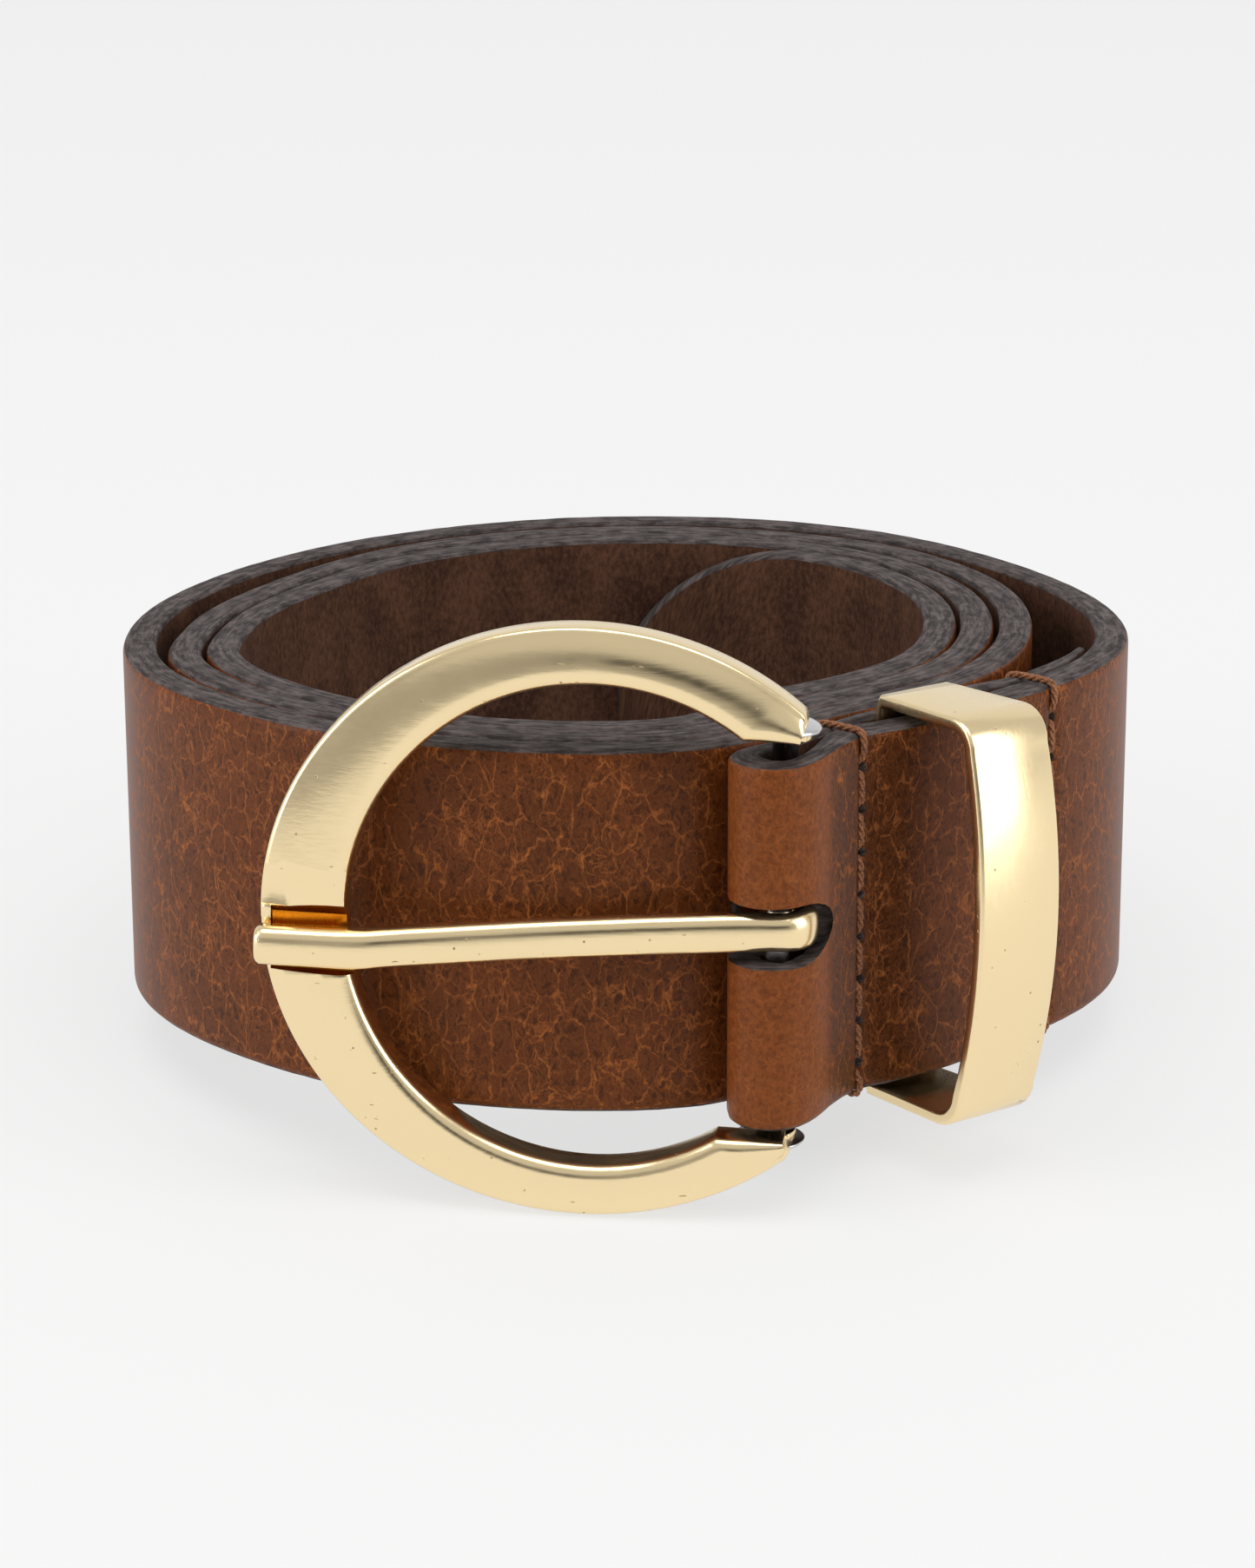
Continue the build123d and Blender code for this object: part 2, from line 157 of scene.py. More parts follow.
# ------------------------------------------------------------------ frames of the coil and buckle
@dataclass(frozen=True)
class Place:
    """A right-handed millimetre frame set in the row's metre frame."""

    origin: Vector
    turn: Matrix

    def at(self, x: float, y: float, z: float) -> Vector:
        """Row-frame point of a local millimetre point."""
        return self.origin + self.turn @ Vector((x, y, z)) * MM

    def matrix(self) -> Matrix:
        """The 4x4 matrix from local millimetres to the row frame."""
        return Matrix.Translation(self.origin) @ (self.turn * MM).to_4x4()

    def inside(self, x: float, y: float, z: float, turn: Matrix) -> "Place":
        """A frame set at a local point and turned within this one."""
        return Place(self.at(x, y, z), self.turn @ turn)


def joint(name: str) -> dict[str, Any]:
    """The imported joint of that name."""
    return next(j for j in frame["joints"] if j["name"] == name)


def coil_place() -> Place:
    """Upright frame of the coil: Z along the winding axis, z = 0 on the strap's lower edge."""
    pivot = joint("keeper_slide")
    up = Vector(pivot["axis"]).normalized()
    across = Vector((1, 0, 0))
    back = up.cross(across).normalized()
    turn = Matrix((across, back, up)).transposed()
    return Place(Vector(pivot["pos_m"]) - up * STRAP_WIDTH / 2 * MM, turn)


def buckle_place(coil: Place) -> Place:
    """Frame of the buckle: X from prong tip to bar, Y back from its face, Z up the bar.

    Args:
        coil: the coil's own frame.

    Returns:
        The buckle's frame, with its face at y = 0.
    """
    yaw, roll = math.radians(Buckle.yaw), math.radians(Buckle.roll)
    turn = Matrix.Rotation(yaw, 3, "Z") @ Matrix.Rotation(roll, 3, "Y")
    pivot = Vector(joint("buckle_swing")["pos_m"])
    whole = coil.turn @ turn
    bar_x, bar_y = Buckle.bar_at
    return Place(pivot - whole @ Vector((bar_x, bar_y, 0)) * MM, whole)


# ------------------------------------------------------------------ shader kit
class Socket:
    """A number-valued output socket that adds Math nodes when used in an expression."""

    def __init__(self, dress: "Dress", link: Any) -> None:
        self.dress = dress
        self.link = link

    def _math(self, operation: str, a: Any, b: Any = None) -> "Socket":
        """One Math node of that operation."""
        values = {0: a} if b is None else {0: a, 1: b}
        return self.dress.node("ShaderNodeMath", {"operation": operation}, values)

    def __add__(self, other: Any) -> "Socket":
        """Sum."""
        return self._math("ADD", self, other)

    __radd__ = __add__

    def __sub__(self, other: Any) -> "Socket":
        """Difference."""
        return self._math("SUBTRACT", self, other)

    def __rsub__(self, other: Any) -> "Socket":
        """Reflected difference."""
        return self._math("SUBTRACT", other, self)

    def __mul__(self, other: Any) -> "Socket":
        """Product."""
        return self._math("MULTIPLY", self, other)

    __rmul__ = __mul__

    def __truediv__(self, other: Any) -> "Socket":
        """Quotient."""
        return self._math("DIVIDE", self, other)

    def __pow__(self, other: Any) -> "Socket":
        """Power."""
        return self._math("POWER", self, other)

    def ridge(self, sharp: float) -> "Socket":
        """1 where the value is a half, falling off to both sides: turns a noise into threads."""
        away = self._math("ABSOLUTE", self * 2.0 - 1.0, 0.0)
        return (1.0 - away) ** sharp

    def between(self, low: float, high: float) -> "Socket":
        """0 at low, 1 at high, smooth and clamped between; low may be above high."""
        settings = {"interpolation_type": "SMOOTHSTEP"}
        if low <= high:
            values = {"Value": self, "From Min": low, "From Max": high, "To Min": 0.0, "To Max": 1.0}
        else:
            values = {"Value": self, "From Min": high, "From Max": low, "To Min": 1.0, "To Max": 0.0}
        return self.dress.node("ShaderNodeMapRange", settings, values)


class Dress:
    """One node material under construction."""

    def __init__(self, name: str) -> None:
        self.material = bpy.data.materials.new(name)
        self.material.use_nodes = True
        self.tree = self.material.node_tree
        self.tree.nodes.clear()
        self.shader = self.tree.nodes.new("ShaderNodeBsdfPrincipled")
        out = self.tree.nodes.new("ShaderNodeOutputMaterial")
        self.tree.links.new(self.shader.outputs[0], out.inputs[0])

    def put(self, node: Any, key: Any, value: Any) -> None:
        """Sets or links one input socket."""
        if isinstance(value, Socket):
            self.tree.links.new(value.link, node.inputs[key])
        else:
            node.inputs[key].default_value = value

    def node(self, kind: str, settings: dict[str, Any], values: dict[Any, Any], out: Any = 0) -> Socket:
        """Adds one node.

        Args:
            kind: the node's type.
            settings: its attributes, set first; "stops" fills a ramp with (place, colour) pairs.
            values: numbers, colours or links for its input sockets.
            out: which output is wanted.

        Returns:
            The wanted output.
        """
        made = self.tree.nodes.new(kind)
        for key, value in settings.items():
            if key == "stops":
                ramp = made.color_ramp.elements
                while len(ramp) < len(value):
                    ramp.new(0.5)
                for stop, (place, colour) in zip(ramp, value):
                    stop.position, stop.color = place, (*colour, 1.0)
            else:
                setattr(made, key, value)
        for key, value in values.items():
            self.put(made, key, value)
        return Socket(self, made.outputs[out])

    def place_mm(self, stretch: Sequence[float] = (1.0, 1.0, 1.0), uv: bool = False) -> Socket:
        """Surface place in millimetres, stretched per axis; from the unrolled map or the object."""
        which = "UV" if uv else "Object"
        place = self.node("ShaderNodeTexCoord", {}, {}, which)
        scale = tuple(s / MM for s in stretch)
        return self.node("ShaderNodeVectorMath", {"operation": "MULTIPLY"}, {0: place, 1: scale})

    def noise(self, place: Socket, scale: float, detail: float = 3.0, rough: float = 0.55,
              colour: bool = False) -> Socket:
        """Noise of a scale per millimetre."""
        values = {"Vector": place, "Scale": scale, "Detail": detail, "Roughness": rough}
        return self.node("ShaderNodeTexNoise", {}, values, "Color" if colour else "Fac")

    def cells(self, place: Socket, scale: float, edges: bool = True, random: float = 1.0) -> Socket:
        """Voronoi distance, to the cell edges or to the cell points."""
        feature = "DISTANCE_TO_EDGE" if edges else "F1"
        values = {"Vector": place, "Scale": scale, "Randomness": random}
        return self.node("ShaderNodeTexVoronoi", {"feature": feature}, values, "Distance")

    def warp(self, place: Socket, scale: float, amount: float) -> Socket:
        """The place pushed about by a noise, by up to half the amount in millimetres."""
        push = self.noise(place, scale, 2.0, 0.5, colour=True)
        centred = self.node("ShaderNodeVectorMath", {"operation": "SUBTRACT"}, {0: push, 1: (0.5, 0.5, 0.5)})
        grown = self.node("ShaderNodeVectorMath", {"operation": "SCALE"}, {0: centred, "Scale": amount})
        return self.node("ShaderNodeVectorMath", {"operation": "ADD"}, {0: place, 1: grown})

    def mix(self, factor: Any, first: Any, second: Any) -> Socket:
        """Colour mix; colours are triples or sockets."""
        colours = [c if isinstance(c, Socket) else (*c, 1.0) for c in (first, second)]
        values = {0: factor, 6: colours[0], 7: colours[1]}
        return self.node("ShaderNodeMix", {"data_type": "RGBA"}, values, 2)

    def bump(self, height: Socket, depth_mm: float, strength: float = 1.0, under: Any = None) -> Socket:
        """Bump of a height of 0 to 1 over a depth in millimetres."""
        values = {"Height": height, "Distance": depth_mm * MM, "Strength": strength}
        if under is not None:
            values["Normal"] = under
        return self.node("ShaderNodeBump", {}, values, "Normal")

    def finish(self, **sockets: Any) -> bpy.types.Material:
        """Sets the shader's sockets, named with underscores for spaces, and returns the material."""
        for key, value in sockets.items():
            name = key.replace("_", " ")
            if isinstance(value, tuple) and len(value) == 3:
                value = (*value, 1.0)
            self.put(self.shader, name, value)
        return self.material


# ------------------------------------------------------------------ finishes
@dataclass(frozen=True)
class GrainFinish:
    """Waxed pull-up leather: dark cells parted by hair-fine paler veins, lighter where it is bent, and darkened by
    painted shade just past the fold.
    """

    dark: tuple[float, float, float] = (0.036, 0.0088, 0.0026)
    warm: tuple[float, float, float] = (0.094, 0.0218, 0.0048)
    vein: tuple[float, float, float] = (0.420, 0.1300, 0.0300)
    bent: tuple[float, float, float] = (0.185, 0.0450, 0.0090)
    # painted shade colour: stands in for the shade on the stretch between the buckle's sewn row and the keeper
    painted_shade_colour: tuple[float, float, float] = (0.018, 0.0046, 0.0016)
    cell_mm: float = 2.7

    def build(self, bent_from: float, bent_to: float) -> bpy.types.Material:
        """The finished material.

        Args:
            bent_from: length along the strap, in millimetres, where the buckle's fold starts.
            bent_to: length where it ends.

        Returns:
            The material.
        """
        d = Dress("leather_grain")
        place = d.place_mm((1.0, 0.62, 1.0), uv=True)
        along = d.node("ShaderNodeSeparateXYZ", {}, {0: place}, "X")
        bend = along.between(bent_from - 1.0, bent_from + 3.0) * along.between(bent_to + 3.0, bent_to - 1.0)
        bent = d.warp(d.warp(place, 0.45, 1.8), 2.6, 0.50)
        wide = d.cells(bent, 1 / self.cell_mm)
        small = d.cells(d.warp(bent, 1.8, 0.5), 2.3 / self.cell_mm)
        fade = d.noise(place, 0.22, 3.0, 0.6)
        drift = d.noise(place, 0.80, 3.0, 0.6)
        wide_line = wide.between(0.046, 0.0) * drift.between(0.34, 0.58)
        small_line = small.between(0.075, 0.0) * fade.between(0.58, 0.42)
        hairs = d.noise(bent, 1.6, 4.0, 0.66).ridge(12.0)
        fluff = d.noise(d.place_mm((1.3, 0.7, 1.0), uv=True), 5.5, 3.0, 0.7).ridge(4.0)
        cracks = (wide_line * 0.66 + small_line * 0.46) * (1.0 - bend * 0.62)
        lines = cracks + hairs * 0.30 + fluff * (0.14 + bend * 0.10)
        tone = d.noise(place, 0.07, 4.0, 0.6) * 0.4 + d.noise(bent, 1.6, 4.0, 0.65) * 0.6
        flat = d.mix(tone.between(0.38, 0.62) * 0.85, self.dark, self.warm)
        speck = d.noise(d.place_mm((1.2, 0.8, 1.0), uv=True), 1.5, 5.0, 0.80).between(0.40, 0.60)
        worn = d.mix(speck, self.warm, self.bent)
        base = d.mix(bend * 0.85, flat, worn)
        # painted shade: the grain is darkened from the fold's end to just past the keeper, standing in for the
        # shade that falls there
        painted_shade_mask = along.between(bent_to - 1.0, bent_to + 2.0) * along.between(bent_to + 19.0, bent_to + 14.0)
        base_with_painted_shade = d.mix(painted_shade_mask * 0.65, base, self.painted_shade_colour)
        colour = d.mix(lines * 0.64, base_with_painted_shade, self.vein)
        grit = d.noise(place, 6.0, 3.0, 0.6)
        height = 0.6 - wide_line * 0.40 - small_line * 0.25 + grit * 0.16 + tone * 0.3
        sheen = 0.28 + grit * 0.12 + lines * 0.16
        return d.finish(Base_Color=colour, Roughness=sheen, Normal=d.bump(height, 0.09, 0.45),
                        Specular_IOR_Level=0.13)


@dataclass(frozen=True)
class EdgeFinish:
    """Cut edge, dyed grey-brown: fibres lying along the strap."""

    dyed: tuple[float, float, float] = (0.036, 0.029, 0.029)
    worn: tuple[float, float, float] = (0.140, 0.116, 0.110)

    def build(self) -> bpy.types.Material:
        """The finished material."""
        d = Dress("leather_edge")
        along = d.warp(d.place_mm((0.28, 1.9, 1.0), uv=True), 0.6, 1.2)
        fibre = d.noise(along, 0.9, 5.0, 0.7)
        blot = d.noise(d.place_mm(uv=True), 0.5, 3.0, 0.6)
        mask = (fibre * 0.7 + blot * 0.3).between(0.40, 0.64)
        colour = d.mix(mask, self.dyed, self.worn)
        return d.finish(Base_Color=colour, Roughness=0.66 + fibre * 0.2,
                        Normal=d.bump(fibre, 0.35, 0.6), Specular_IOR_Level=0.10)


@dataclass(frozen=True)
class FleshFinish:
    """Flesh side: dark, short-napped suede."""

    shade: tuple[float, float, float] = (0.034, 0.0150, 0.0088)
    nap: tuple[float, float, float] = (0.108, 0.048, 0.027)

    def build(self) -> bpy.types.Material:
        """The finished material."""
        d = Dress("leather_flesh")
        place = d.place_mm((1.0, 0.55, 1.0), uv=True)
        nap = d.noise(place, 1.7, 5.0, 0.72)
        cloud = d.noise(place, 0.16, 3.0, 0.6)
        mask = (nap * 0.65 + cloud * 0.35).between(0.36, 0.66)
        return d.finish(Base_Color=d.mix(mask, self.shade, self.nap), Roughness=0.9,
                        Normal=d.bump(nap, 0.22, 0.6), Specular_IOR_Level=0.1)


class Brushing(Enum):
    """Which way the last polishing strokes ran."""

    ACROSS = (0.05, 1.0, 1.0)
    ALONG = (1.0, 1.0, 0.05)


@dataclass(frozen=True)
class GoldFinish:
    """Pale gold plating, machine polished, with strokes, casting pits and hairline scratches."""

    name: str
    brushing: Brushing
    plate: tuple[float, float, float] = (0.94, 0.755, 0.45)
    pit: tuple[float, float, float] = (0.20, 0.12, 0.045)
    rough: float = 0.13

    def build(self) -> bpy.types.Material:
        """The finished material."""
        d = Dress(self.name)
        place = d.place_mm()
        strokes = d.noise(d.place_mm(self.brushing.value), 2.4, 4.0, 0.6)
        cloud = d.noise(place, 0.12, 3.0, 0.5)
        pits = d.cells(place, 0.62, edges=False).between(0.115, 0.05)
        nicks = d.cells(d.warp(d.place_mm((0.55, 1.0, 1.9)), 0.5, 1.5), 0.40, edges=False).between(0.085, 0.03)
        some = d.noise(place, 0.35, 2.0, 0.5).between(0.50, 0.60)
        mark = pits * some + nicks * some
        wear = cloud.between(0.45, 0.75)
        rough = self.rough + strokes * 0.12 + wear * 0.07 + mark * 0.3
        dents = d.noise(place, 0.22, 2.0, 0.5)
        height = strokes * 0.6 - mark
        soft = d.bump(dents, 0.05, 0.5)
        return d.finish(Base_Color=d.mix(mark * 0.7, self.plate, self.pit), Metallic=1.0, Roughness=rough,
                        Normal=d.bump(height, 0.035, 0.45, soft))


@dataclass(frozen=True)
class SteelFinish:
    """Bright drawn steel of the bar."""

    metal: tuple[float, float, float] = (0.66, 0.66, 0.67)

    def build(self) -> bpy.types.Material:
        """The finished material."""
        d = Dress("bar_steel")
        drawn = d.noise(d.place_mm((1.0, 1.0, 0.05)), 3.0, 3.0, 0.6)
        return d.finish(Base_Color=self.metal, Metallic=1.0, Roughness=0.16 + drawn * 0.14,
                        Normal=d.bump(drawn, 0.02, 0.3))


@dataclass(frozen=True)
class ThreadFinish:
    """Twisted, waxed brown-orange thread."""

    dark: tuple[float, float, float] = (0.10, 0.032, 0.012)
    light: tuple[float, float, float] = (0.40, 0.155, 0.058)

    def build(self) -> bpy.types.Material:
        """The finished material."""
        d = Dress("thread")
        fuzz = d.noise(d.place_mm(), 4.5, 4.0, 0.7)
        return d.finish(Base_Color=d.mix(fuzz.between(0.34, 0.66), self.dark, self.light),
                        Roughness=0.55 + fuzz * 0.2, Normal=d.bump(fuzz, 0.10, 0.6))


@dataclass(frozen=True)
class Finishes:
    """Every material of the belt, made once."""

    grain: bpy.types.Material
    edge: bpy.types.Material
    flesh: bpy.types.Material
    gold_ring: bpy.types.Material
    gold_loop: bpy.types.Material
    gold_groove_painted_shade: bpy.types.Material
    steel: bpy.types.Material
    thread: bpy.types.Material

    @classmethod
    def make(cls) -> "Finishes":
        """Builds the set."""
        return cls(GrainFinish().build(*bent_lengths()), EdgeFinish().build(), FleshFinish().build(),
                   GoldFinish("gold_buckle", Brushing.ACROSS).build(),
                   GoldFinish("gold_keeper", Brushing.ALONG, rough=0.17).build(),
                   # the groove's gold is painted shade: a deeper orange base colour standing in for the shade
                   # inside the prong's groove
                   GoldFinish("gold_groove_painted_shade", Brushing.ALONG, plate=(0.50, 0.19, 0.012), rough=0.22).build(),
                   SteelFinish().build(), ThreadFinish().build())


# ------------------------------------------------------------------ mesh kit
def add_mesh(name: str, verts: Iterable[Vector], faces: Iterable[Sequence[int]]) -> bpy.types.Object:
    """A new, smoothly shaded mesh object with its vertices in the row frame."""
    mesh = bpy.data.meshes.new(name)
    mesh.from_pydata([tuple(v) for v in verts], [], [tuple(f) for f in faces])
    mesh.validate()
    thing = bpy.data.objects.new(name, mesh)
    bpy.context.scene.collection.objects.link(thing)
    mesh.shade_smooth()
    return thing


def apply_all(thing: bpy.types.Object) -> None:
    """Replaces the mesh by the result of its modifiers."""
    graph = bpy.context.evaluated_depsgraph_get()
    done = bpy.data.meshes.new_from_object(thing.evaluated_get(graph), depsgraph=graph)
    old = thing.data
    thing.modifiers.clear()
    thing.data = done
    done.name = thing.name
    bpy.data.meshes.remove(old)


def drop(thing: bpy.types.Object) -> None:
    """Removes a helper piece and its mesh."""
    mesh = thing.data
    bpy.data.objects.remove(thing, do_unlink=True)
    bpy.data.meshes.remove(mesh)


def cut(thing: bpy.types.Object, tools: Sequence[bpy.types.Object]) -> None:
    """Cuts the tools' solids out of a piece and removes the tools."""
    for tool in tools:
        step = thing.modifiers.new("cut", "BOOLEAN")
        step.operation, step.object, step.solver = "DIFFERENCE", tool, "EXACT"
        apply_all(thing)
        drop(tool)


def soften(thing: bpy.types.Object, width_mm: float, segments: int = 3, angle: float = 38.0) -> None:
    """Rounds the crisp edges of a piece."""
    step = thing.modifiers.new("soften", "BEVEL")
    step.width, step.segments, step.limit_method = width_mm * MM, segments, "ANGLE"
    step.angle_limit = math.radians(angle)
    apply_all(thing)
    thing.data.shade_smooth()
    thing.data.set_sharp_from_angle(angle=math.radians(50.0))


def loft(name: str, rings: Sequence[Sequence[Vector]], closed: bool = False) -> bpy.types.Object:
    """Skins rings of equal size, with both ends filled unless it is closed.

    Args:
        name: the piece's name.
        rings: the rings in order, each a list of row-frame points.
        closed: whether the last ring joins the first.

    Returns:
        The new piece.
    """
    size = len(rings[0])
    verts = [v for ring in rings for v in ring]
    faces: list[list[int]] = []
    count = len(rings)
    for i in range(count if closed else count - 1):
        a, b = i * size, ((i + 1) % count) * size
        faces += [[a + j, a + (j + 1) % size, b + (j + 1) % size, b + j] for j in range(size)]
    if not closed:
        faces.append(list(range(size))[::-1])
        faces.append([(count - 1) * size + j for j in range(size)])
    thing = add_mesh(name, verts, faces)
    fix = bmesh.new()
    fix.from_mesh(thing.data)
    bmesh.ops.recalc_face_normals(fix, faces=fix.faces)
    fix.to_mesh(thing.data)
    fix.free()
    return thing


def arc(centre: Point, radius: float, first: float, last: float, steps: int) -> list[Point]:
    """Points of an arc from one angle in degrees to another, both ends included."""
    angles = [math.radians(first + (last - first) * k / steps) for k in range(steps + 1)]
    return [(centre[0] + radius * math.cos(a), centre[1] + radius * math.sin(a)) for a in angles]


def circle(centre: Point, radius: float, count: int) -> list[Point]:
    """Points of a whole circle, counter-clockwise from +X."""
    return arc(centre, radius, 0, 360, count)[:-1]


def rounded_rectangle(width: float, height: float, radius: float, segments: int = 5) -> list[Point]:
    """Points of a rounded rectangle about its centre, counter-clockwise."""
    points = []
    radius = min(radius, width / 2 - 1e-4, height / 2 - 1e-4)
    for quarter, (sx, sy) in enumerate(((1, 1), (-1, 1), (-1, -1), (1, -1))):
        centre = (sx * (width / 2 - radius), sy * (height / 2 - radius))
        points += arc(centre, radius, 90 * quarter, 90 * quarter + 90, segments)
    return points


def pillow(thick: float, height: float, power: float = 2.6, count: int = 32) -> list[Point]:
    """Points of a superellipse about its centre, counter-clockwise."""
    points = []
    for k in range(count):
        c, s = math.cos(math.tau * k / count), math.sin(math.tau * k / count)
        points.append((math.copysign(abs(c)**(2 / power), c) * thick / 2,
                       math.copysign(abs(s)**(2 / power), s) * height / 2))
    return points


def smooth_line(points: Sequence[Sequence[float]], step: float) -> list[tuple[float, ...]]:
    """Catmull-Rom line through points of any size, resampled about every step.

    Args:
        points: the points; their first two or three numbers are places.
        step: the wanted spacing in the points' own unit.

    Returns:
        The resampled points.
    """
    out: list[tuple[float, ...]] = []
    last = len(points) - 1
    for i in range(last):
        p0, p1, p2, p3 = (points[max(i - 1, 0)], points[i], points[i + 1], points[min(i + 2, last)])
        run = math.dist(p1[:2], p2[:2])
        pieces = max(1, round(run / step))
        for k in range(pieces):
            t = k / pieces
            out.append(tuple(
                0.5 * (2 * b + (c - a) * t + (2 * a - 5 * b + 4 * c - e) * t * t + (3 * b - a - 3 * c + e) * t**3)
                for a, b, c, e in zip(p0, p1, p2, p3)))
    out.append(tuple(points[last]))
    return out


# ------------------------------------------------------------------ the strap
@dataclass
class Strap:
    """The leather: wound length, tip, holes, prong slot and folded-back end."""

    coil: Place
    buckle: Place
    finishes: Finishes
    eye_room: float = 0.35
    stitch_first: float = 3.4
    stitch_pitch: float = 4.7
    stitch_count: int = 8
    fine_step: float = 0.36
    thin: int = 4
    tip_points: int = 30
    fold_pad: float = 0.95
    row_depth: float = 0.42
    row_reach: float = 0.75
    edge_round: float = 0.95
    back_round: float = 0.55
    face_cells: int = 16
    hole_radius: float = 2.1
    hole_pitch: float = 25.0
    first_hole: float = 84.0
    hole_count: int = 5
    slot_low: float = 17.95
    slot_high: float = 24.6
    slot_left: float = 9.0
    slot_right: float = 23.1
    slot_front: float = -66.0
    slot_back: float = -54.8
    slot_slant: float = 0.156
    eye_share: float = 0.72
    line: list[tuple[float, ...]] = field(default_factory=list)
    rows: list[tuple[float, ...]] = field(default_factory=list)

    def section(self, thick: float, half: float, pad: float) -> list[tuple[float, float, int]]:
        """Cross-section as (towards the grain, up, kind).

        Args:
            thick: thickness of the leather.
            half: half its width.
            pad: extra thickness on the flesh side.

        Returns:
            Points round the section; kind 0 is grain, 1 is cut edge and 2 is flesh side.
        """
        t = thick / 2
        s = t + pad
        r = min(self.edge_round, t * 0.8, half * 0.9)
        b = min(self.back_round, t * 0.6, half * 0.9)
        pts: list[tuple[float, float, int]] = []
        for k in range(self.face_cells):
            z = -half + r + (2 * half - 2 * r) * k / self.face_cells
            pts.append((t, z, 0))
        corner = arc((t - r, half - r), r, 0, 90, 5)[:-1]
        pts += [(x, z, 1 if k >= 2 else 0) for k, (x, z) in enumerate(corner)]
        across = t - r + s - b
        pts += [(t - r - across * k / 4, half, 1) for k in range(4)]
        pts += [(x, z, 1) for x, z in arc((-s + b, half - b), b, 90, 180, 3)[:-1]]
        rows = self.face_cells // 2
        pts += [(-s, half - b - (2 * half - 2 * b) * k / rows, 2) for k in range(rows)]
        pts += [(x, z, 1) for x, z in arc((-s + b, -half + b), b, 180, 270, 3)[:-1]]
        pts += [(-s + b + across * k / 4, -half, 1) for k in range(4)]
        corner = arc((t - r, -half + r), r, 270, 360, 5)[:-1]
        pts += [(x, z, 1 if k < 3 else 0) for k, (x, z) in enumerate(corner)]
        return pts

    def half_width(self, left: float) -> float:
        """Half the strap's width at a length before the very tip."""
        if left >= TIP_LENGTH:
            return STRAP_WIDTH / 2
        return STRAP_WIDTH / 2 * math.sqrt(max(0.0, 1 - ((TIP_LENGTH - left) / (TIP_LENGTH + 0.15))**2))

    def tip_angle(self) -> float:
        """Unwound angle of the very tip."""
        return TIP_START + math.degrees(TIP_LENGTH / (grain_radius(TIP_START) - STRAP_THICK / 2))

    def lay_line(self) -> list[tuple[float, ...]]:
        """Middle line of all the leather, close-set by the sewn rows and the tip."""
        stations = flap_stations() + FOLD + coil_stations(COIL_START, TIP_START, 6.0)
        stations += coil_stations(TIP_START, self.tip_angle(), 4.0)[1:]
        fine = smooth_line(stations, self.fine_step)
        rows = [polar(grain_radius(max(a, LAY[0][0])) - STRAP_THICK / 2, a) for a in (ROW_A, ROW_B)]
        close = [any(math.dist(p[:2], row) < 3.2 for row in rows) for p in fine]
        count = len(fine)
        keep = [i for i in range(count) if close[i] or i % self.thin == 0 or i > count - self.tip_points]
        return [fine[i] for i in keep]

    def face_at(self, angle: float) -> tuple[Vector, Vector, float]:
        """Where the coil's outermost turn crosses an angle.

        Args:
            angle: degrees from +X, near the start of the coil.

        Returns:
            A point on the grain face, the way out of it, both in the plan, and the thickness.
        """
        start = next(i for i, p in enumerate(self.line) if math.dist(p[:2], FOLD[-1][:2]) < 1.0)
        i = next(k for k in range(start, len(self.line))
                 if math.degrees(math.atan2(self.line[k][1], self.line[k][0])) > angle)
        x, y, thick = self.line[i][:3]
        dx, dy = self.line[i + 1][0] - self.line[i - 1][0], self.line[i + 1][1] - self.line[i - 1][1]
        out = Vector((dy, -dx, 0)).normalized()
        return Vector((x, y, 0)) + out * thick / 2, out, thick

    def pull(self, x: float, y: float) -> float:
        """How far the sewn rows draw the grain face in at a place."""
        return sum(self.row_depth * math.exp(-(math.dist((x, y), row) / self.row_reach)**2)
                   for row in self.rows)

    def build(self) -> bpy.types.Object:
        """Sweeps, cuts and dresses the leather."""
        self.line = self.lay_line()
        self.rows = [tuple((face - out * thick / 2)[:2])
                     for face, out, thick in map(self.face_at, (ROW_A, ROW_B))]
        fold_from, _ = bent_lengths()
        runs = [0.0]
        for a, b in zip(self.line, self.line[1:]):
            runs.append(runs[-1] + math.dist(a[:2], b[:2]))
        total = runs[-1]
        rings, marks, kinds = [], [], []
        last = len(self.line) - 1
        for i, (x, y, thick) in enumerate(self.line):
            x0, y0 = self.line[max(i - 1, 0)][:2]
            x1, y1 = self.line[min(i + 1, last)][:2]
            run = math.hypot(x1 - x0, y1 - y0)
            nx, ny = (y1 - y0) / run, -(x1 - x0) / run
            half = max(0.6, self.half_width(total - runs[i]))
            pad = self.fold_pad * ease(runs[i], fold_from + 9.5, fold_from + 12.5)
            pad *= 1 - ease(runs[i], fold_from + 21.0, fold_from + 24.0)
            profile = self.section(thick, half, pad)
            ring, around, perimeter = [], [], 0.0
            for k, (d, z, kind) in enumerate(profile):
                if k:
                    perimeter += math.hypot(d - profile[k - 1][0], z - profile[k - 1][1])
                wave = 0.10 * noise.noise(Vector((runs[i] * 0.05, z * 0.06, 3.7)))
                fibre = 0.05 * noise.noise(Vector((runs[i] * 0.45, d * 1.3, z * 0.2))) if kind == 1 else 0.0
                out = d - (self.pull(x, y) if d > 0 else 0.0)
                ring.append(self.coil.at(x + nx * out, y + ny * out, STRAP_WIDTH / 2 + z + wave * 0.4 + fibre))
                around.append((runs[i] * MM, perimeter * MM))
            rings.append(ring)
            marks.append(around)
            kinds = [k for _, _, k in profile]
        strap = loft("strap_leather", rings)
        self.map_and_paint(strap, marks, kinds)
        cut(strap, [self.as_cut_leather(tool) for tool in self.tools()])
        strap.data.shade_smooth()
        strap.data.set_sharp_from_angle(angle=math.radians(55.0))
        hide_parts("strap")
        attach(strap, "belt")
        return strap

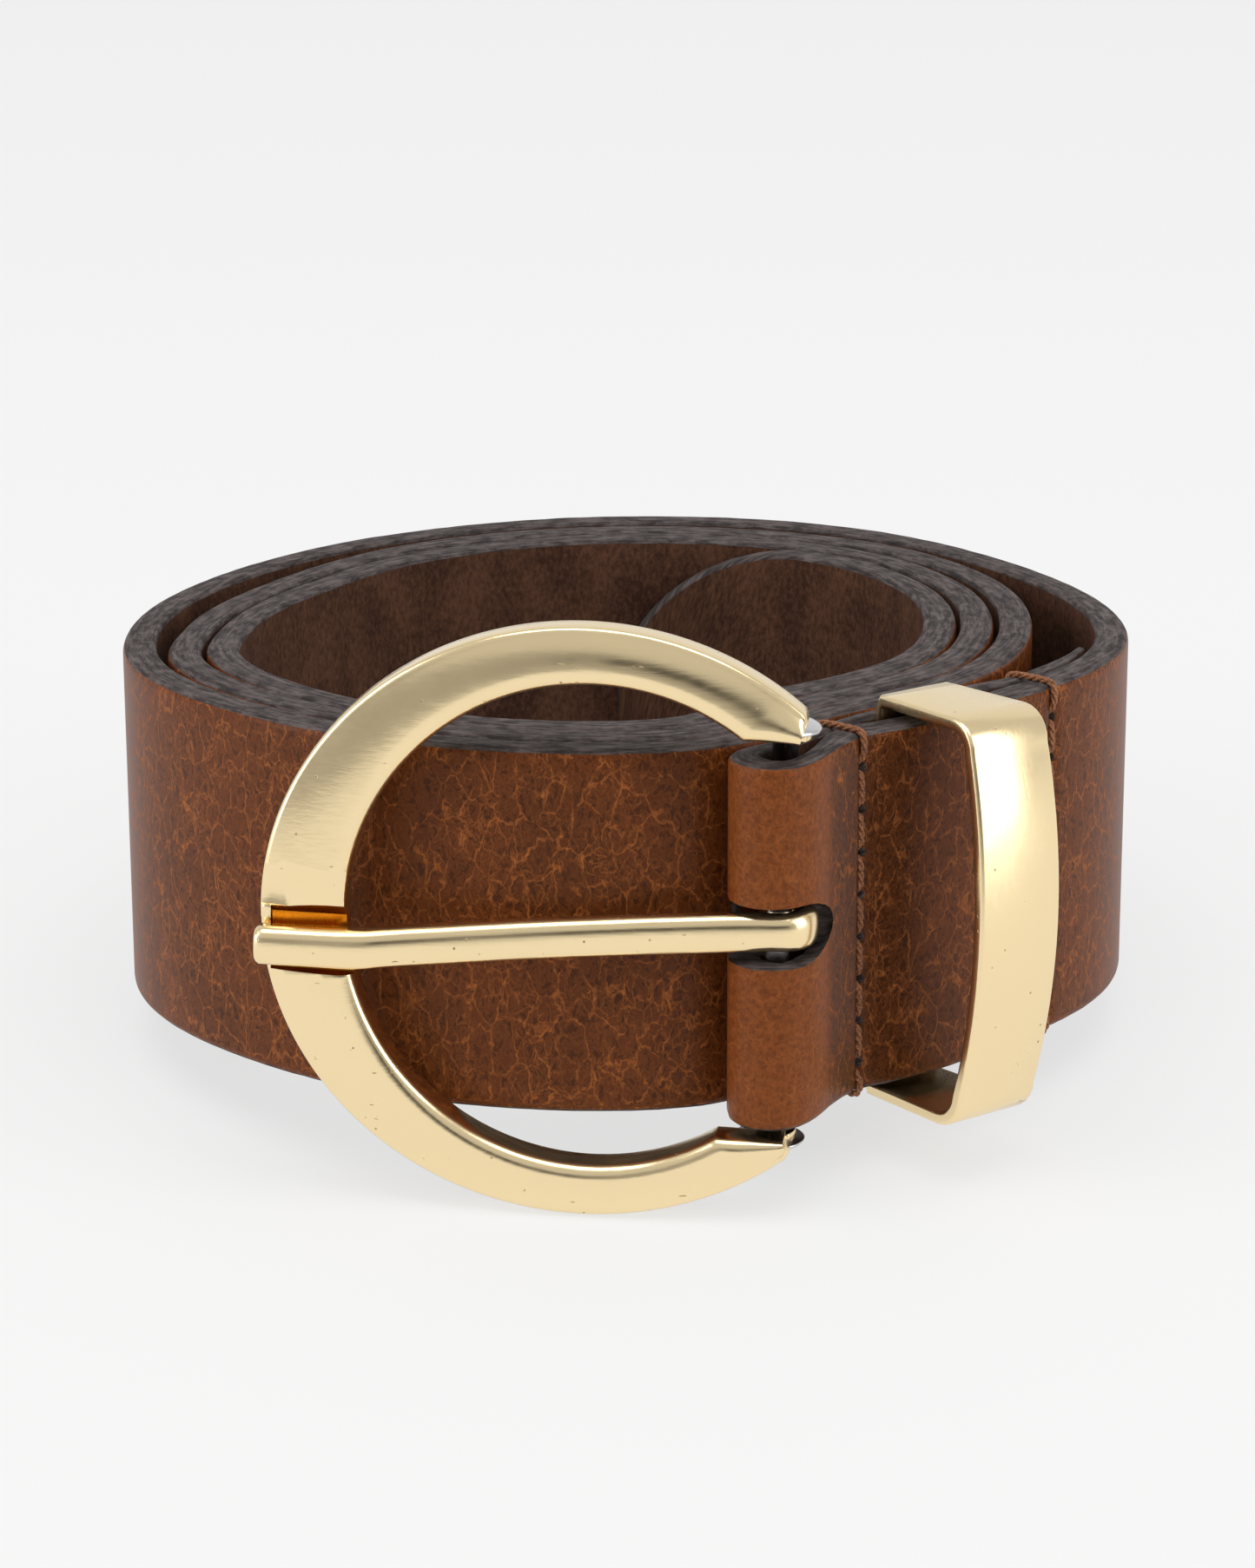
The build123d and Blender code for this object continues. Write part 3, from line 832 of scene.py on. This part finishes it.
    def map_and_paint(self, strap: bpy.types.Object, marks: list[list[Point]], kinds: list[int]) -> None:
        """Gives the swept skin its unrolled map and its three materials."""
        mesh = strap.data
        for material in (self.finishes.grain, self.finishes.edge, self.finishes.flesh):
            mesh.materials.append(material)
        size = len(kinds)
        unrolled = mesh.uv_layers.new(name="unrolled")
        flat = [uv for ring in marks for uv in ring]
        wrap = marks[0][-1][1] + 0.6 * MM
        for face in mesh.polygons:
            columns = sorted(v % size for v in face.vertices)
            wraps = len(face.vertices) == 4 and columns[0] == 0 and columns[-1] == size - 1
            for corner in face.loop_indices:
                v = mesh.loops[corner].vertex_index
                u, w = flat[v]
                if wraps and v % size == 0:
                    w = wrap
                unrolled.data[corner].uv = (u, w)
            if len(face.vertices) != 4:
                face.material_index = 1
                continue
            low = size - 1 if wraps else columns[0]
            face.material_index = kinds[low]

    def as_cut_leather(self, tool: bpy.types.Object) -> bpy.types.Object:
        """Gives a cutter the edge's material and map, so that its cut looks like cut leather."""
        mesh = tool.data
        for material in (self.finishes.grain, self.finishes.edge, self.finishes.flesh):
            mesh.materials.append(material)
        unrolled = mesh.uv_layers.new(name="unrolled")
        for face in mesh.polygons:
            face.material_index = 1
            for corner in face.loop_indices:
                place = mesh.vertices[mesh.loops[corner].vertex_index].co
                unrolled.data[corner].uv = (place.x + place.z * 0.3, place.y + place.z)
        return tool

    def needle_tools(self) -> list[bpy.types.Object]:
        """Cutters of the needle holes at both ends of each stitch on the grain face."""
        tools = []
        for angle in (ROW_A, ROW_B):
            face, out, _ = self.face_at(angle)
            side = Vector((-out.y, out.x, 0))
            for k in range(self.stitch_count):
                z = self.stitch_first + k * self.stitch_pitch
                rings = []
                for depth, radius in ((1.0, 0.75), (-0.35, 0.55), (-1.5, 0.30)):
                    middle = face + out * depth
                    rings.append([self.coil.at(*(middle + side * u)[:2], z + v * 1.15)
                                  for u, v in circle((0, 0), radius, 10)])
                tools.append(loft("needle_tool", rings))
        return tools

    def tools(self) -> list[bpy.types.Object]:
        """Cutters of the prong slot and the punched holes."""
        middle = (self.slot_low + self.slot_high) / 2
        radius = (self.slot_high - self.slot_low) / 2
        outline = [(self.slot_left, -radius), *arc((self.slot_right - radius, 0), radius, -90, 90, 12),
                   (self.slot_left, radius)]
        front = [[self.coil.at(x, self.slot_front, middle + z) for x, z in outline],
                 [self.coil.at(x, self.slot_back + (x - self.slot_left) * self.slot_slant, middle + z)
                  for x, z in outline]]
        turning = Buckle.bar_radius + Buckle.eye_fit + Buckle.eye_thick + self.eye_room
        height = middle - STRAP_WIDTH / 2
        rear = [[self.buckle.at(x, y, height + way * radius * self.eye_share)
                 for x, y in circle(Buckle.bar_at, turning, 40)] for way in (-1, 1)]
        tools = [loft("slot_tool", front), loft("rear_tool", rear), *self.needle_tools()]
        for k in range(self.hole_count):
            angle = self.tip_angle()
            left = self.first_hole + k * self.hole_pitch
            while left > 0:
                left -= math.radians(0.5) * (grain_radius(angle) - STRAP_THICK / 2)
                angle -= 0.5
            sx, sy = -math.sin(math.radians(angle)), math.cos(math.radians(angle))
            rings = []
            for reach in (-STRAP_THICK / 2 - 0.12, STRAP_THICK / 2 + 0.12):
                cx, cy = polar(grain_radius(angle) - STRAP_THICK / 2 + reach, angle)
                rings.append([self.coil.at(cx + sx * u, cy + sy * u, STRAP_WIDTH / 2 + v)
                              for u, v in circle((0, 0), self.hole_radius, 24)])
            tools.append(loft("punch_tool", rings))
        return tools


# ------------------------------------------------------------------ sewn rows
@dataclass
class SewnRow:
    """A row of twisted thread through both layers, wrapped over both edges."""

    name: str
    node: str
    angle: float
    strap: Strap
    finishes: Finishes
    radius: float = 0.40
    sunk: float = 0.50

    def route(self) -> list[tuple[float, float]]:
        """The thread's way round the layers as (depth below the grain face, height)."""
        strap = self.strap
        heights = [strap.stitch_first + k * strap.stitch_pitch for k in range(strap.stitch_count)]
        thick = STRAP_THICK + LAYER_GAP + FLAP_THICK
        top, low, lie = STRAP_WIDTH + 0.32, -0.32, self.sunk - 0.28
        way: list[tuple[float, float]] = [(1.6, heights[0] + 0.1)]
        for a, b in zip(heights, heights[1:]):
            way += [(1.3, a + 0.25), (lie + 0.1, a + 1.0), (lie, (a + b) / 2), (lie + 0.15, b - 0.9),
                    (1.3, b - 0.35)]
        way += [(1.3, heights[-1] + 0.2), (lie, heights[-1] + 1.1), (-0.05, top - 1.3), (0.35, top - 0.2),
                (1.6, top), (thick - 1.2, top), (thick - 0.1, top - 0.4), (thick + 0.15, top - 2.0)]
        for a, b in zip(heights[::-1], heights[-2::-1]):
            way += [(thick - 0.5, a - 0.1), (thick + 0.15, (a + b) / 2)]
        way += [(thick - 0.5, heights[0]), (thick + 0.15, 1.6), (thick - 0.1, low + 0.4), (thick - 1.2, low),
                (1.6, low), (0.35, low + 0.2), (-0.05, 1.0), (0.3, 1.8), (1.3, heights[0] - 0.4)]
        return way

    def build(self) -> bpy.types.Object:
        """Twists three plies along the route."""
        face, out, _ = self.strap.face_at(self.angle)
        line = smooth_line(self.route(), 0.22)
        coil = self.strap.coil
        path = [coil.at(*(face - out * d)[:2], z) for d, z in line]
        side = coil.turn @ Vector((-out.y, out.x, 0))
        verts: list[Vector] = []
        faces: list[list[int]] = []
        sides = 7
        for ply in range(3):
            start = len(verts)
            run = 0.0
            for i, here in enumerate(path):
                ahead = (path[min(i + 1, len(path) - 1)] - path[max(i - 1, 0)]).normalized()
                run += (path[i] - path[i - 1]).length / MM if i else 0.0
                lift = side.cross(ahead).normalized()
                turn = run * 2.2 + ply * math.tau / 3
                middle = here + (side * math.cos(turn) + lift * math.sin(turn)) * self.radius * 0.48 * MM
                verts += [middle + (side * u + lift * v) * MM
                          for u, v in circle((0, 0), self.radius * 0.56, sides)]
            for i in range(len(path) - 1):
                a = start + i * sides
                faces += [[a + k, a + (k + 1) % sides, a + sides + (k + 1) % sides, a + sides + k]
                          for k in range(sides)]
            faces.append([start + k for k in range(sides)][::-1])
            faces.append([start + (len(path) - 1) * sides + k for k in range(sides)])
        row = add_mesh(self.name, verts, faces)
        row.data.materials.append(self.finishes.thread)
        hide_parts(self.node)
        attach(row, "belt")
        return row


# ------------------------------------------------------------------ the buckle
@dataclass
class Buckle:
    """Horseshoe ring, its steel bar and the prong, in the buckle's own frame."""

    place: Place
    finishes: Finishes

    yaw: float = -6.7
    roll: float = 1.9
    bar_at: Point = (-2.5, 5.6)
    outer: Point = (34.0, 32.1)
    outer_at: Point = (-22.6, 1.1)
    inner: Point = (25.8, 26.2)
    inner_at: Point = (-21.7, 1.0)
    thick: float = 4.6
    arm_end: float = 0.0
    arm_inside: Point = (-21.1, 22.3)
    bar_radius: float = 1.4
    head_radius: float = 3.8
    head_height: float = 1.2
    lug_radius: float = 2.8
    lug_front: float = 3.7
    lug_thick: float = 1.0
    lug_inside: Point = (-21.25, 21.65)
    prong_thick: float = 3.3
    eye_thick: float = 2.8
    eye_height: float = 4.4
    shank_height: float = 4.1
    eye_fit: float = 0.08
    eye_up: float = 1.4
    tip_at: Point = (-56.3, -2.55)
    tip_height: float = 4.3
    tip_round: float = 0.75
    tip_shrink: float = 0.26
    kink_x: float = -45.7
    proud: float = 1.9
    groove_height: float = 6.2
    crown: float = 0.95

    def limb_lines(self) -> list[tuple[Point, Point]]:
        """Pairs of inner and outer outline points from the upper arm's end to the lower's."""
        cx, cz = self.inner_at
        ox, oz = self.outer_at
        pairs: list[tuple[Point, Point]] = []

        def outer_at_angle(a: float) -> Point:
            """Where a ray from the window's centre leaves the outer ellipse."""
            dx, dz = math.cos(a), math.sin(a)
            px, pz = (cx - ox) / self.outer[0], (cz - oz) / self.outer[1]
            qx, qz = dx / self.outer[0], dz / self.outer[1]
            qa, qb, qc = qx * qx + qz * qz, 2 * (px * qx + pz * qz), px * px + pz * pz - 1
            t = (-qb + math.sqrt(qb * qb - 4 * qa * qc)) / (2 * qa)
            return cx + dx * t, cz + dz * t

        def arm(sign: int) -> list[tuple[Point, Point]]:
            """The arm's stations from its end to where the window's curve takes over."""
            inside = self.arm_inside[1] if sign > 0 else self.arm_inside[0]
            reach = (inside - cz) / self.inner[1]
            join_x = cx + self.inner[0] * math.sqrt(1 - reach * reach)
            join_a = math.atan2(inside - cz, join_x - cx)
            far = outer_at_angle(join_a)
            out = []
            for k in range(11):
                t = k / 10
                ix = self.arm_end - 0.7 + (join_x - self.arm_end + 0.7) * t
                ex = self.arm_end + (far[0] - self.arm_end) * t
                ez = oz + sign * self.outer[1] * math.sqrt(1 - ((ex - ox) / self.outer[0])**2)
                if k == 0:
                    ez -= sign * 0.55
                out.append(((ix, inside), (ex, ez)))
            return out

        upper, lower = arm(1), arm(-1)
        start = math.atan2(upper[-1][0][1] - cz, upper[-1][0][0] - cx)
        stop = math.tau + math.atan2(lower[-1][0][1] - cz, lower[-1][0][0] - cx)
        pairs += upper
        for k in range(1, 150):
            a = start + (stop - start) * k / 150
            gap = math.hypot(self.inner[1] * math.cos(a), self.inner[0] * math.sin(a))
            r = self.inner[0] * self.inner[1] / gap
            pairs.append(((cx + r * math.cos(a), cz + r * math.sin(a)), outer_at_angle(a)))
        pairs += lower[::-1]
        return pairs

    def limb_section(self, width: float) -> list[tuple[float, float]]:
        """Section of the limb as (way across from its inner side, depth), both in millimetres."""
        t = self.thick
        rim, shoulder, back = 0.55, min(1.5, width * 0.3), 0.45
        pts: list[tuple[float, float]] = []
        for k in range(5):
            a = math.radians(90 * k / 4)
            pts.append((shoulder - shoulder * math.cos(a), shoulder * 0.75 * (1 - math.sin(a))))
        cells = 10
        for k in range(1, cells + 1):
            u = k / cells
            pts.append((shoulder + (width - rim - shoulder) * u, self.crown * u**2))
        pts += arc((width - rim, self.crown + rim), rim, -90, 0, 3)[1:]
        pts.append((width, t * 0.5))
        pts += arc((width - back, t - back), back, 0, 90, 3)
        pts.append((width * 0.5, t))
        pts += arc((back, t - back), back, 90, 180, 3)
        return pts

    def build_ring(self) -> bpy.types.Object:
        """The cast ring with its prong seat and lugs."""
        rings = []
        for (ix, iz), (ex, ez) in self.limb_lines():
            width = math.hypot(ex - ix, ez - iz)
            dx, dz = (ex - ix) / width, (ez - iz) / width
            rings.append([self.place.at(ix + dx * w, y, iz + dz * w) for w, y in self.limb_section(width)])
        ring = loft("buckle_horseshoe", rings)
        ring.data.materials.append(self.finishes.gold_ring)
        # second material: the groove's painted-shade gold
        ring.data.materials.append(self.finishes.gold_groove_painted_shade)
        cut(ring, self.seat_tools())
        soften(ring, 0.22, 2, 32.0)
        parts = [ring] + self.lugs()
        joined = bmesh.new()
        for part in parts:
            joined.from_mesh(part.data)
        joined.to_mesh(ring.data)
        joined.free()
        for part in parts[1:]:
            drop(part)
        ring.data.shade_smooth()
        ring.data.set_sharp_from_angle(angle=math.radians(42.0))
        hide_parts("buckle_ring")
        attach(ring, "buckle")
        return ring

    def seat_tools(self) -> list[bpy.types.Object]:
        """Cutters of the prong's groove and the shallow ramp above it."""
        z = self.tip_at[1]
        depth = self.prong_thick - self.proud + 0.35
        half = self.groove_height / 2
        rise = 1.9
        slope = rise / depth
        clear = -1.5
        wall = [(clear, z - half), (depth, z - half), (depth, z + half),
                (clear, z + half + rise - clear * slope)]
        groove = loft("groove_tool", [[self.place.at(x, y, zz) for y, zz in wall] for x in (-55.4, -44.0)])
        # painted shade: the groove's cut faces take the darker orange gold
        for face in groove.data.polygons:
            face.material_index = 1
        ledge = []
        for x in (-57.4, -55.5, -54.0, -52.5, -51.0, -49.5, -44.0):
            back = self.crown * min(1.0, max(0.0, (-49.0 - x) / 7.0))**2
            low, high = z + half + 0.8, z + half + 5.2
            ledge.append([self.place.at(x, y, zz) for y, zz in
                          ((clear, low), (back + 0.62, low), (back + 0.46, high), (clear, high))])
        corners = ((-60.0, -2.5), (-55.0, -2.5), (-55.0, 2.5), (-60.0, 2.5))
        mouth = [[self.place.at(x, y, z + v) for x, v in corners] for y in (clear, depth)]
        tools = [loft("ledge_tool", ledge), groove, loft("mouth_tool", mouth)]
        for tool in tools:
            tool.data.materials.append(self.finishes.gold_ring)
            tool.data.materials.append(self.finishes.gold_groove_painted_shade)
        return tools

    def lugs(self) -> list[bpy.types.Object]:
        """The ear behind each arm that holds the bar."""
        out = []
        bx, by = self.bar_at
        low, high = self.lug_inside
        for z0, z1 in ((low - self.lug_thick, low), (high, high + self.lug_thick)):
            outline = [(bx - self.lug_radius, self.lug_front), (bx + 2.2, self.lug_front)]
            outline += arc((bx, by), self.lug_radius, -20, 180, 20)
            rings = [[self.place.at(x, y, z) for x, y in outline] for z in (z0, z1)]
            lug = loft("lug", rings)
            soften(lug, 0.2, 2)
            out.append(lug)
        return out

    def build_bar(self) -> bpy.types.Object:
        """The turned steel bar with a domed head at each end."""
        low, high = self.lug_inside[0] - self.lug_thick, self.lug_inside[1] + self.lug_thick
        r, hr, hh = self.bar_radius, self.head_radius, self.head_height
        profile: list[tuple[float, float]] = []
        for k in range(9):
            a = math.radians(90 * k / 8)
            profile.append((max(0.02, hr * math.sin(a)), low - hh * math.cos(a)))
        profile += [(hr - 0.15, low + 0.02), (r, low + 0.05)]
        profile += [(r, low + (high - low) * k / 6) for k in range(1, 6)]
        profile += [(r, high - 0.05), (hr - 0.15, high - 0.02)]
        for k in range(9):
            a = math.radians(90 - 90 * k / 8)
            profile.append((max(0.02, hr * math.sin(a)), high + hh * math.cos(a)))
        rings = [[self.place.at(x, y, z) for x, y in circle(self.bar_at, rr, 32)] for rr, z in profile]
        bar = loft("buckle_bar_rod", rings)
        bar.data.materials.append(self.finishes.steel)
        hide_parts("buckle_bar")
        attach(bar, "buckle")
        return bar

    def prong_line(self) -> list[tuple[float, ...]]:
        """Middle of the prong from its tip to the end of its eye: (x, y, z, thickness, height)."""
        bx, by = self.bar_at
        tip_y = self.prong_thick / 2 - self.proud
        reach = self.bar_radius + self.eye_fit + self.eye_thick / 2
        rough = [
            (self.tip_at[0], tip_y, self.tip_at[1], self.prong_thick, self.tip_height),
            (self.tip_at[0] + 5, tip_y - 0.02, self.tip_at[1] + 0.06, self.prong_thick, self.tip_height + 0.05),
            (self.kink_x - 1.6, tip_y - 0.30, -2.35, self.prong_thick, 4.45),
            (self.kink_x + 0.6, tip_y - 0.33, -2.20, self.prong_thick, 4.45),
            (self.kink_x + 4.0, tip_y - 0.10, -1.80, 3.25, 4.40),
            (-26.0, 0.95, -0.28, 3.1, 4.35),
            (-9.5, 1.9, 1.10, 2.9, 4.3),
        ]
        for a in range(-90, 140, 20):
            t = math.radians(a)
            tall = self.shank_height + (self.eye_height - self.shank_height) * ease(a, -70, -10)
            rough.append((bx + reach * math.cos(t), by + reach * math.sin(t), self.eye_up,
                          self.eye_thick, tall))
        return smooth_line(rough, 0.9)

    def build_prong(self) -> bpy.types.Object:
        """The prong: a rounded bar, kinked before its square tip, curled round the bar."""
        line = self.prong_line()
        rings = []
        for i, (x, y, z, thick, height) in enumerate(line):
            before, after = line[max(i - 1, 0)], line[min(i + 1, len(line) - 1)]
            dx, dy = after[0] - before[0], after[1] - before[1]
            run = math.hypot(dx, dy)
            nx, ny = -dy / run, dx / run
            shape = pillow(thick, height)
            rings.append([self.place.at(x + nx * u, y + ny * u, z + v) for u, v in shape])
        centre = sum(rings[0], Vector()) / len(rings[0])
        tip = []
        for k in range(5):
            round_off = 1 - math.sin(math.radians(18 + 72 * k / 4))
            shift = self.place.turn @ Vector((-self.tip_round * round_off, 0, 0)) * MM
            tip.append([centre + (v - centre) * (1 - self.tip_shrink * round_off) + shift for v in rings[0]])
        prong = loft("prong_bar", tip + rings[1:])
        prong.data.materials.append(self.finishes.gold_ring)
        soften(prong, 0.25, 2, 45.0)
        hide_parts("prong")
        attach(prong, "prong")
        return prong


# ------------------------------------------------------------------ the keeper
@dataclass
class Keeper:
    """Closed metal loop with a bowed front and a rear wall between the leather's layers."""

    coil: Place
    finishes: Finishes
    thick: float = 1.4
    rear: float = 49.75
    rear_thick: float = 1.1
    front: float = 65.3
    bulge: float = 2.5
    belly: float = 0.3
    low: float = -2.6
    high: float = 42.4
    corner: float = 3.6
    rear_width: float = 10.2
    front_width: float = 11.1
    lean: float = -1.3

    def walls(self) -> list[tuple[float, float, float, float]]:
        """The loop's middle line as (radius, height, wall thickness, width)."""
        t = self.thick / 2
        mid = (self.low + self.high) / 2
        c = self.corner - t
        out: list[tuple[float, float, float, float]] = []

        def width_at(r: float) -> float:
            """Width of the band at a radius."""
            return self.rear_width + (self.front_width - self.rear_width) * ease(r, 51, 63)

        rear_mid = self.rear + self.rear_thick / 2
        for k in range(13):
            z = self.high - t - 0.8 - (self.high - self.low - 2 * t - 1.6) * k / 12
            out.append((rear_mid, z, self.rear_thick, self.rear_width))
        for r in (rear_mid + 0.5, 52.0, 54.0, 56.0, 58.0, 60.0):
            out.append((r, self.low + t, self.thick, width_at(r)))
        for r, z in arc((self.front - self.corner, self.low + self.corner), c, -90, 0, 6):
            out.append((r, z, self.thick, width_at(r)))
        for k in range(1, 24):
            u = k / 24
            z = self.low + self.corner + (self.high - self.low - 2 * self.corner) * u
            r = self.front - t + self.bulge * (1 - ((z - mid) / (mid - self.low - self.corner))**2)
            out.append((r, z, self.thick, self.front_width + self.belly * math.sin(math.pi * u)))
        for r, z in arc((self.front - self.corner, self.high - self.corner), c, 0, 90, 6):
            out.append((r, z, self.thick, width_at(r)))
        for r in (60.0, 58.0, 56.0, 54.0, 52.0, rear_mid + 0.5):
            out.append((r, self.high - t, self.thick, width_at(r)))
        return out

    def build(self) -> bpy.types.Object:
        """Sweeps the band round the loop."""
        walls = self.walls()
        count = len(walls)
        rings = []
        lean = math.radians(self.lean)
        for i, (r, z, thick, width) in enumerate(walls):
            r0, z0 = walls[i - 1][:2]
            r1, z1 = walls[(i + 1) % count][:2]
            run = math.hypot(r1 - r0, z1 - z0)
            nr, nz = (z1 - z0) / run, -(r1 - r0) / run
            ring = []
            for u, v in rounded_rectangle(thick, width, 0.38, 3):
                crown = 0.28 * (1 - (2 * v / width)**2) if r > 61 and u > 0 else 0.0
                rr, zz, side = r + nr * (u + crown), z + nz * (u + crown), v
                side, zz = (side * math.cos(lean) - (zz - 20) * math.sin(lean),
                            20 + side * math.sin(lean) + (zz - 20) * math.cos(lean))
                a = math.radians(KEEPER_ANGLE)
                if r < 52:
                    a += side / 50.5
                    x, y = rr * math.cos(a), rr * math.sin(a)
                else:
                    x, y = rr * math.cos(a) - side * math.sin(a), rr * math.sin(a) + side * math.cos(a)
                ring.append(self.coil.at(x, y, zz))
            rings.append(ring)
        loop = loft("keeper_band", rings, closed=True)
        loop.data.materials.append(self.finishes.gold_loop)
        loop.data.shade_smooth()
        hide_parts("keeper_loop")
        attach(loop, "keeper")
        return loop


# ------------------------------------------------------------------ studio
@dataclass
class Studio:
    """Pale floor, soft lights and the camera."""

    coil: Place
    eye: tuple[float, float, float] = (1.54, -490.0, 162.9)
    down: float = 16.2
    roll: float = -0.17
    lens: float = 100.26
    paper_glow: float = 0.67
    room_glow: float = 0.62
    front_glow: float = 0.38
    patch_glow: float = 0.03

    def build_camera(self) -> None:
        """Sets the camera in the coil's upright frame, so that it keeps its angle to the belt."""
        data = bpy.data.cameras.new("camera")
        data.lens, data.sensor_width = self.lens, 36.0
        data.clip_start, data.clip_end = 0.01, 50.0
        camera = bpy.data.objects.new("camera", data)
        bpy.context.scene.collection.objects.link(camera)
        e = math.radians(self.down)
        look = self.coil.turn @ Vector((0, math.cos(e), -math.sin(e)))
        up = self.coil.turn @ Vector((0, math.sin(e), math.cos(e)))
        side = look.cross(up)
        turn = Matrix((side, up, -look)).transposed().to_4x4()
        spin = Matrix.Rotation(math.radians(self.roll), 4, "Z")
        camera.matrix_world = Matrix.Translation(self.coil.at(*self.eye)) @ turn @ spin
        bpy.context.scene.camera = camera

    def build_floor(self) -> None:
        """A pale table top that ends just in front and curves up far behind."""
        profile = [(-0.56, 0.0), (1.0, 0.0)]
        profile += [(1.0 + 0.8 * math.sin(math.radians(a)), 0.8 - 0.8 * math.cos(math.radians(a)))
                    for a in range(10, 91, 10)]
        profile += [(1.8, 2.6)]
        verts = [Vector((x, y, z)) for y, z in profile for x in (-2.4, 2.4)]
        faces = [[2 * i, 2 * i + 1, 2 * i + 3, 2 * i + 2] for i in range(len(profile) - 1)]
        floor = add_mesh("studio_floor", verts, faces)
        d = Dress("studio_paper")
        floor.data.materials.append(d.finish(
            Base_Color=(0.22, 0.22, 0.22), Roughness=0.95, Specular_IOR_Level=0.0,
            Emission_Color=(1.0, 1.0, 1.0), Emission_Strength=self.paper_glow))

    def light(self, name: str, place: tuple[float, float, float], size: tuple[float, float], power: float) -> None:
        """One soft box aimed at the middle of the belt."""
        data = bpy.data.lights.new(name, "AREA")
        data.shape, data.size, data.size_y, data.energy = "RECTANGLE", size[0], size[1], power
        lamp = bpy.data.objects.new(name, data)
        bpy.context.scene.collection.objects.link(lamp)
        lamp.location = place
        aim = Vector((0, -0.02, 0.025)) - Vector(place)
        lamp.rotation_mode = "QUATERNION"
        lamp.rotation_quaternion = aim.to_track_quat("-Z", "Y")

    def build_lights(self) -> None:
        """Two side boxes, a top box and the room: pale, greyer low in front, with one dark doorway."""
        self.light("box_left", (-0.85, -0.30, 0.35), (0.5, 0.8), 3.2)
        self.light("box_right", (0.85, -0.35, 0.35), (0.5, 0.8), 3.2)
        self.light("box_top", (0.0, -0.25, 0.95), (0.9, 0.5), 3.8)
        room = bpy.data.worlds.new("room")
        room.use_nodes = True
        tree = room.node_tree
        ground = tree.nodes["Background"]
        sky = tree.nodes.new("ShaderNodeTexCoord")
        parts = tree.nodes.new("ShaderNodeSeparateXYZ")
        tree.links.new(sky.outputs["Generated"], parts.inputs[0])

        def ranged(source: Any, low: float, high: float, start: float, stop: float) -> Any:
            """Smooth change from start to stop as the source goes from low to high."""
            node = tree.nodes.new("ShaderNodeMapRange")
            node.interpolation_type = "SMOOTHSTEP"
            tree.links.new(source, node.inputs["Value"])
            for key, value in (("From Min", low), ("From Max", high), ("To Min", start), ("To Max", stop)):
                node.inputs[key].default_value = value
            return node.outputs[0]

        def times(a: Any, b: Any) -> Any:
            """Product of two values."""
            node = tree.nodes.new("ShaderNodeMath")
            node.operation = "MULTIPLY"
            tree.links.new(a, node.inputs[0])
            tree.links.new(b, node.inputs[1])
            return node.outputs[0]

        front = ranged(parts.outputs["Y"], -0.75, -0.35, 1.0, 0.0)
        low = ranged(parts.outputs["Z"], 0.26, 0.42, 1.0, 0.0)
        shade = ranged(times(front, low), 0.0, 1.0, self.room_glow, self.front_glow)
        band = times(ranged(parts.outputs["Z"], 0.05, 0.13, 0.0, 1.0),
                     ranged(parts.outputs["Z"], 0.22, 0.32, 1.0, 0.0))
        side = times(ranged(parts.outputs["X"], -0.27, -0.21, 0.0, 1.0),
                     ranged(parts.outputs["X"], 0.45, 0.60, 1.0, 0.0))
        patch = ranged(times(times(band, side), front), 0.0, 1.0, 1.0, self.patch_glow / self.front_glow)
        shade = times(shade, patch)
        tree.links.new(shade, ground.inputs["Strength"])
        ground.inputs["Color"].default_value = (1, 1, 1, 1)
        bpy.context.scene.world = room
        bpy.context.scene.view_settings.view_transform = "Standard"


# ------------------------------------------------------------------ assembly
def main() -> None:
    """Builds the belt in order and reports each piece."""
    logging.basicConfig(level=logging.INFO, format="%(name)s: %(message)s")
    coil = coil_place()
    finishes = Finishes.make()
    buckle = Buckle(buckle_place(coil), finishes)
    strap = Strap(coil, buckle.place, finishes)
    makers: list[Callable[[], bpy.types.Object]] = [
        strap.build,
        SewnRow("sewn_row_buckle", "stitches_at_buckle", ROW_A, strap, finishes).build,
        SewnRow("sewn_row_keeper", "stitches_past_keeper", ROW_B, strap, finishes).build,
        buckle.build_ring, buckle.build_bar, buckle.build_prong,
        Keeper(coil, finishes).build,
    ]
    for make in makers:
        piece = make()
        LOG.info("%s: %d faces", piece.name, len(piece.data.polygons))
    studio = Studio(coil)
    studio.build_floor()
    studio.build_lights()
    studio.build_camera()


if __name__ == "__main__":
    main()
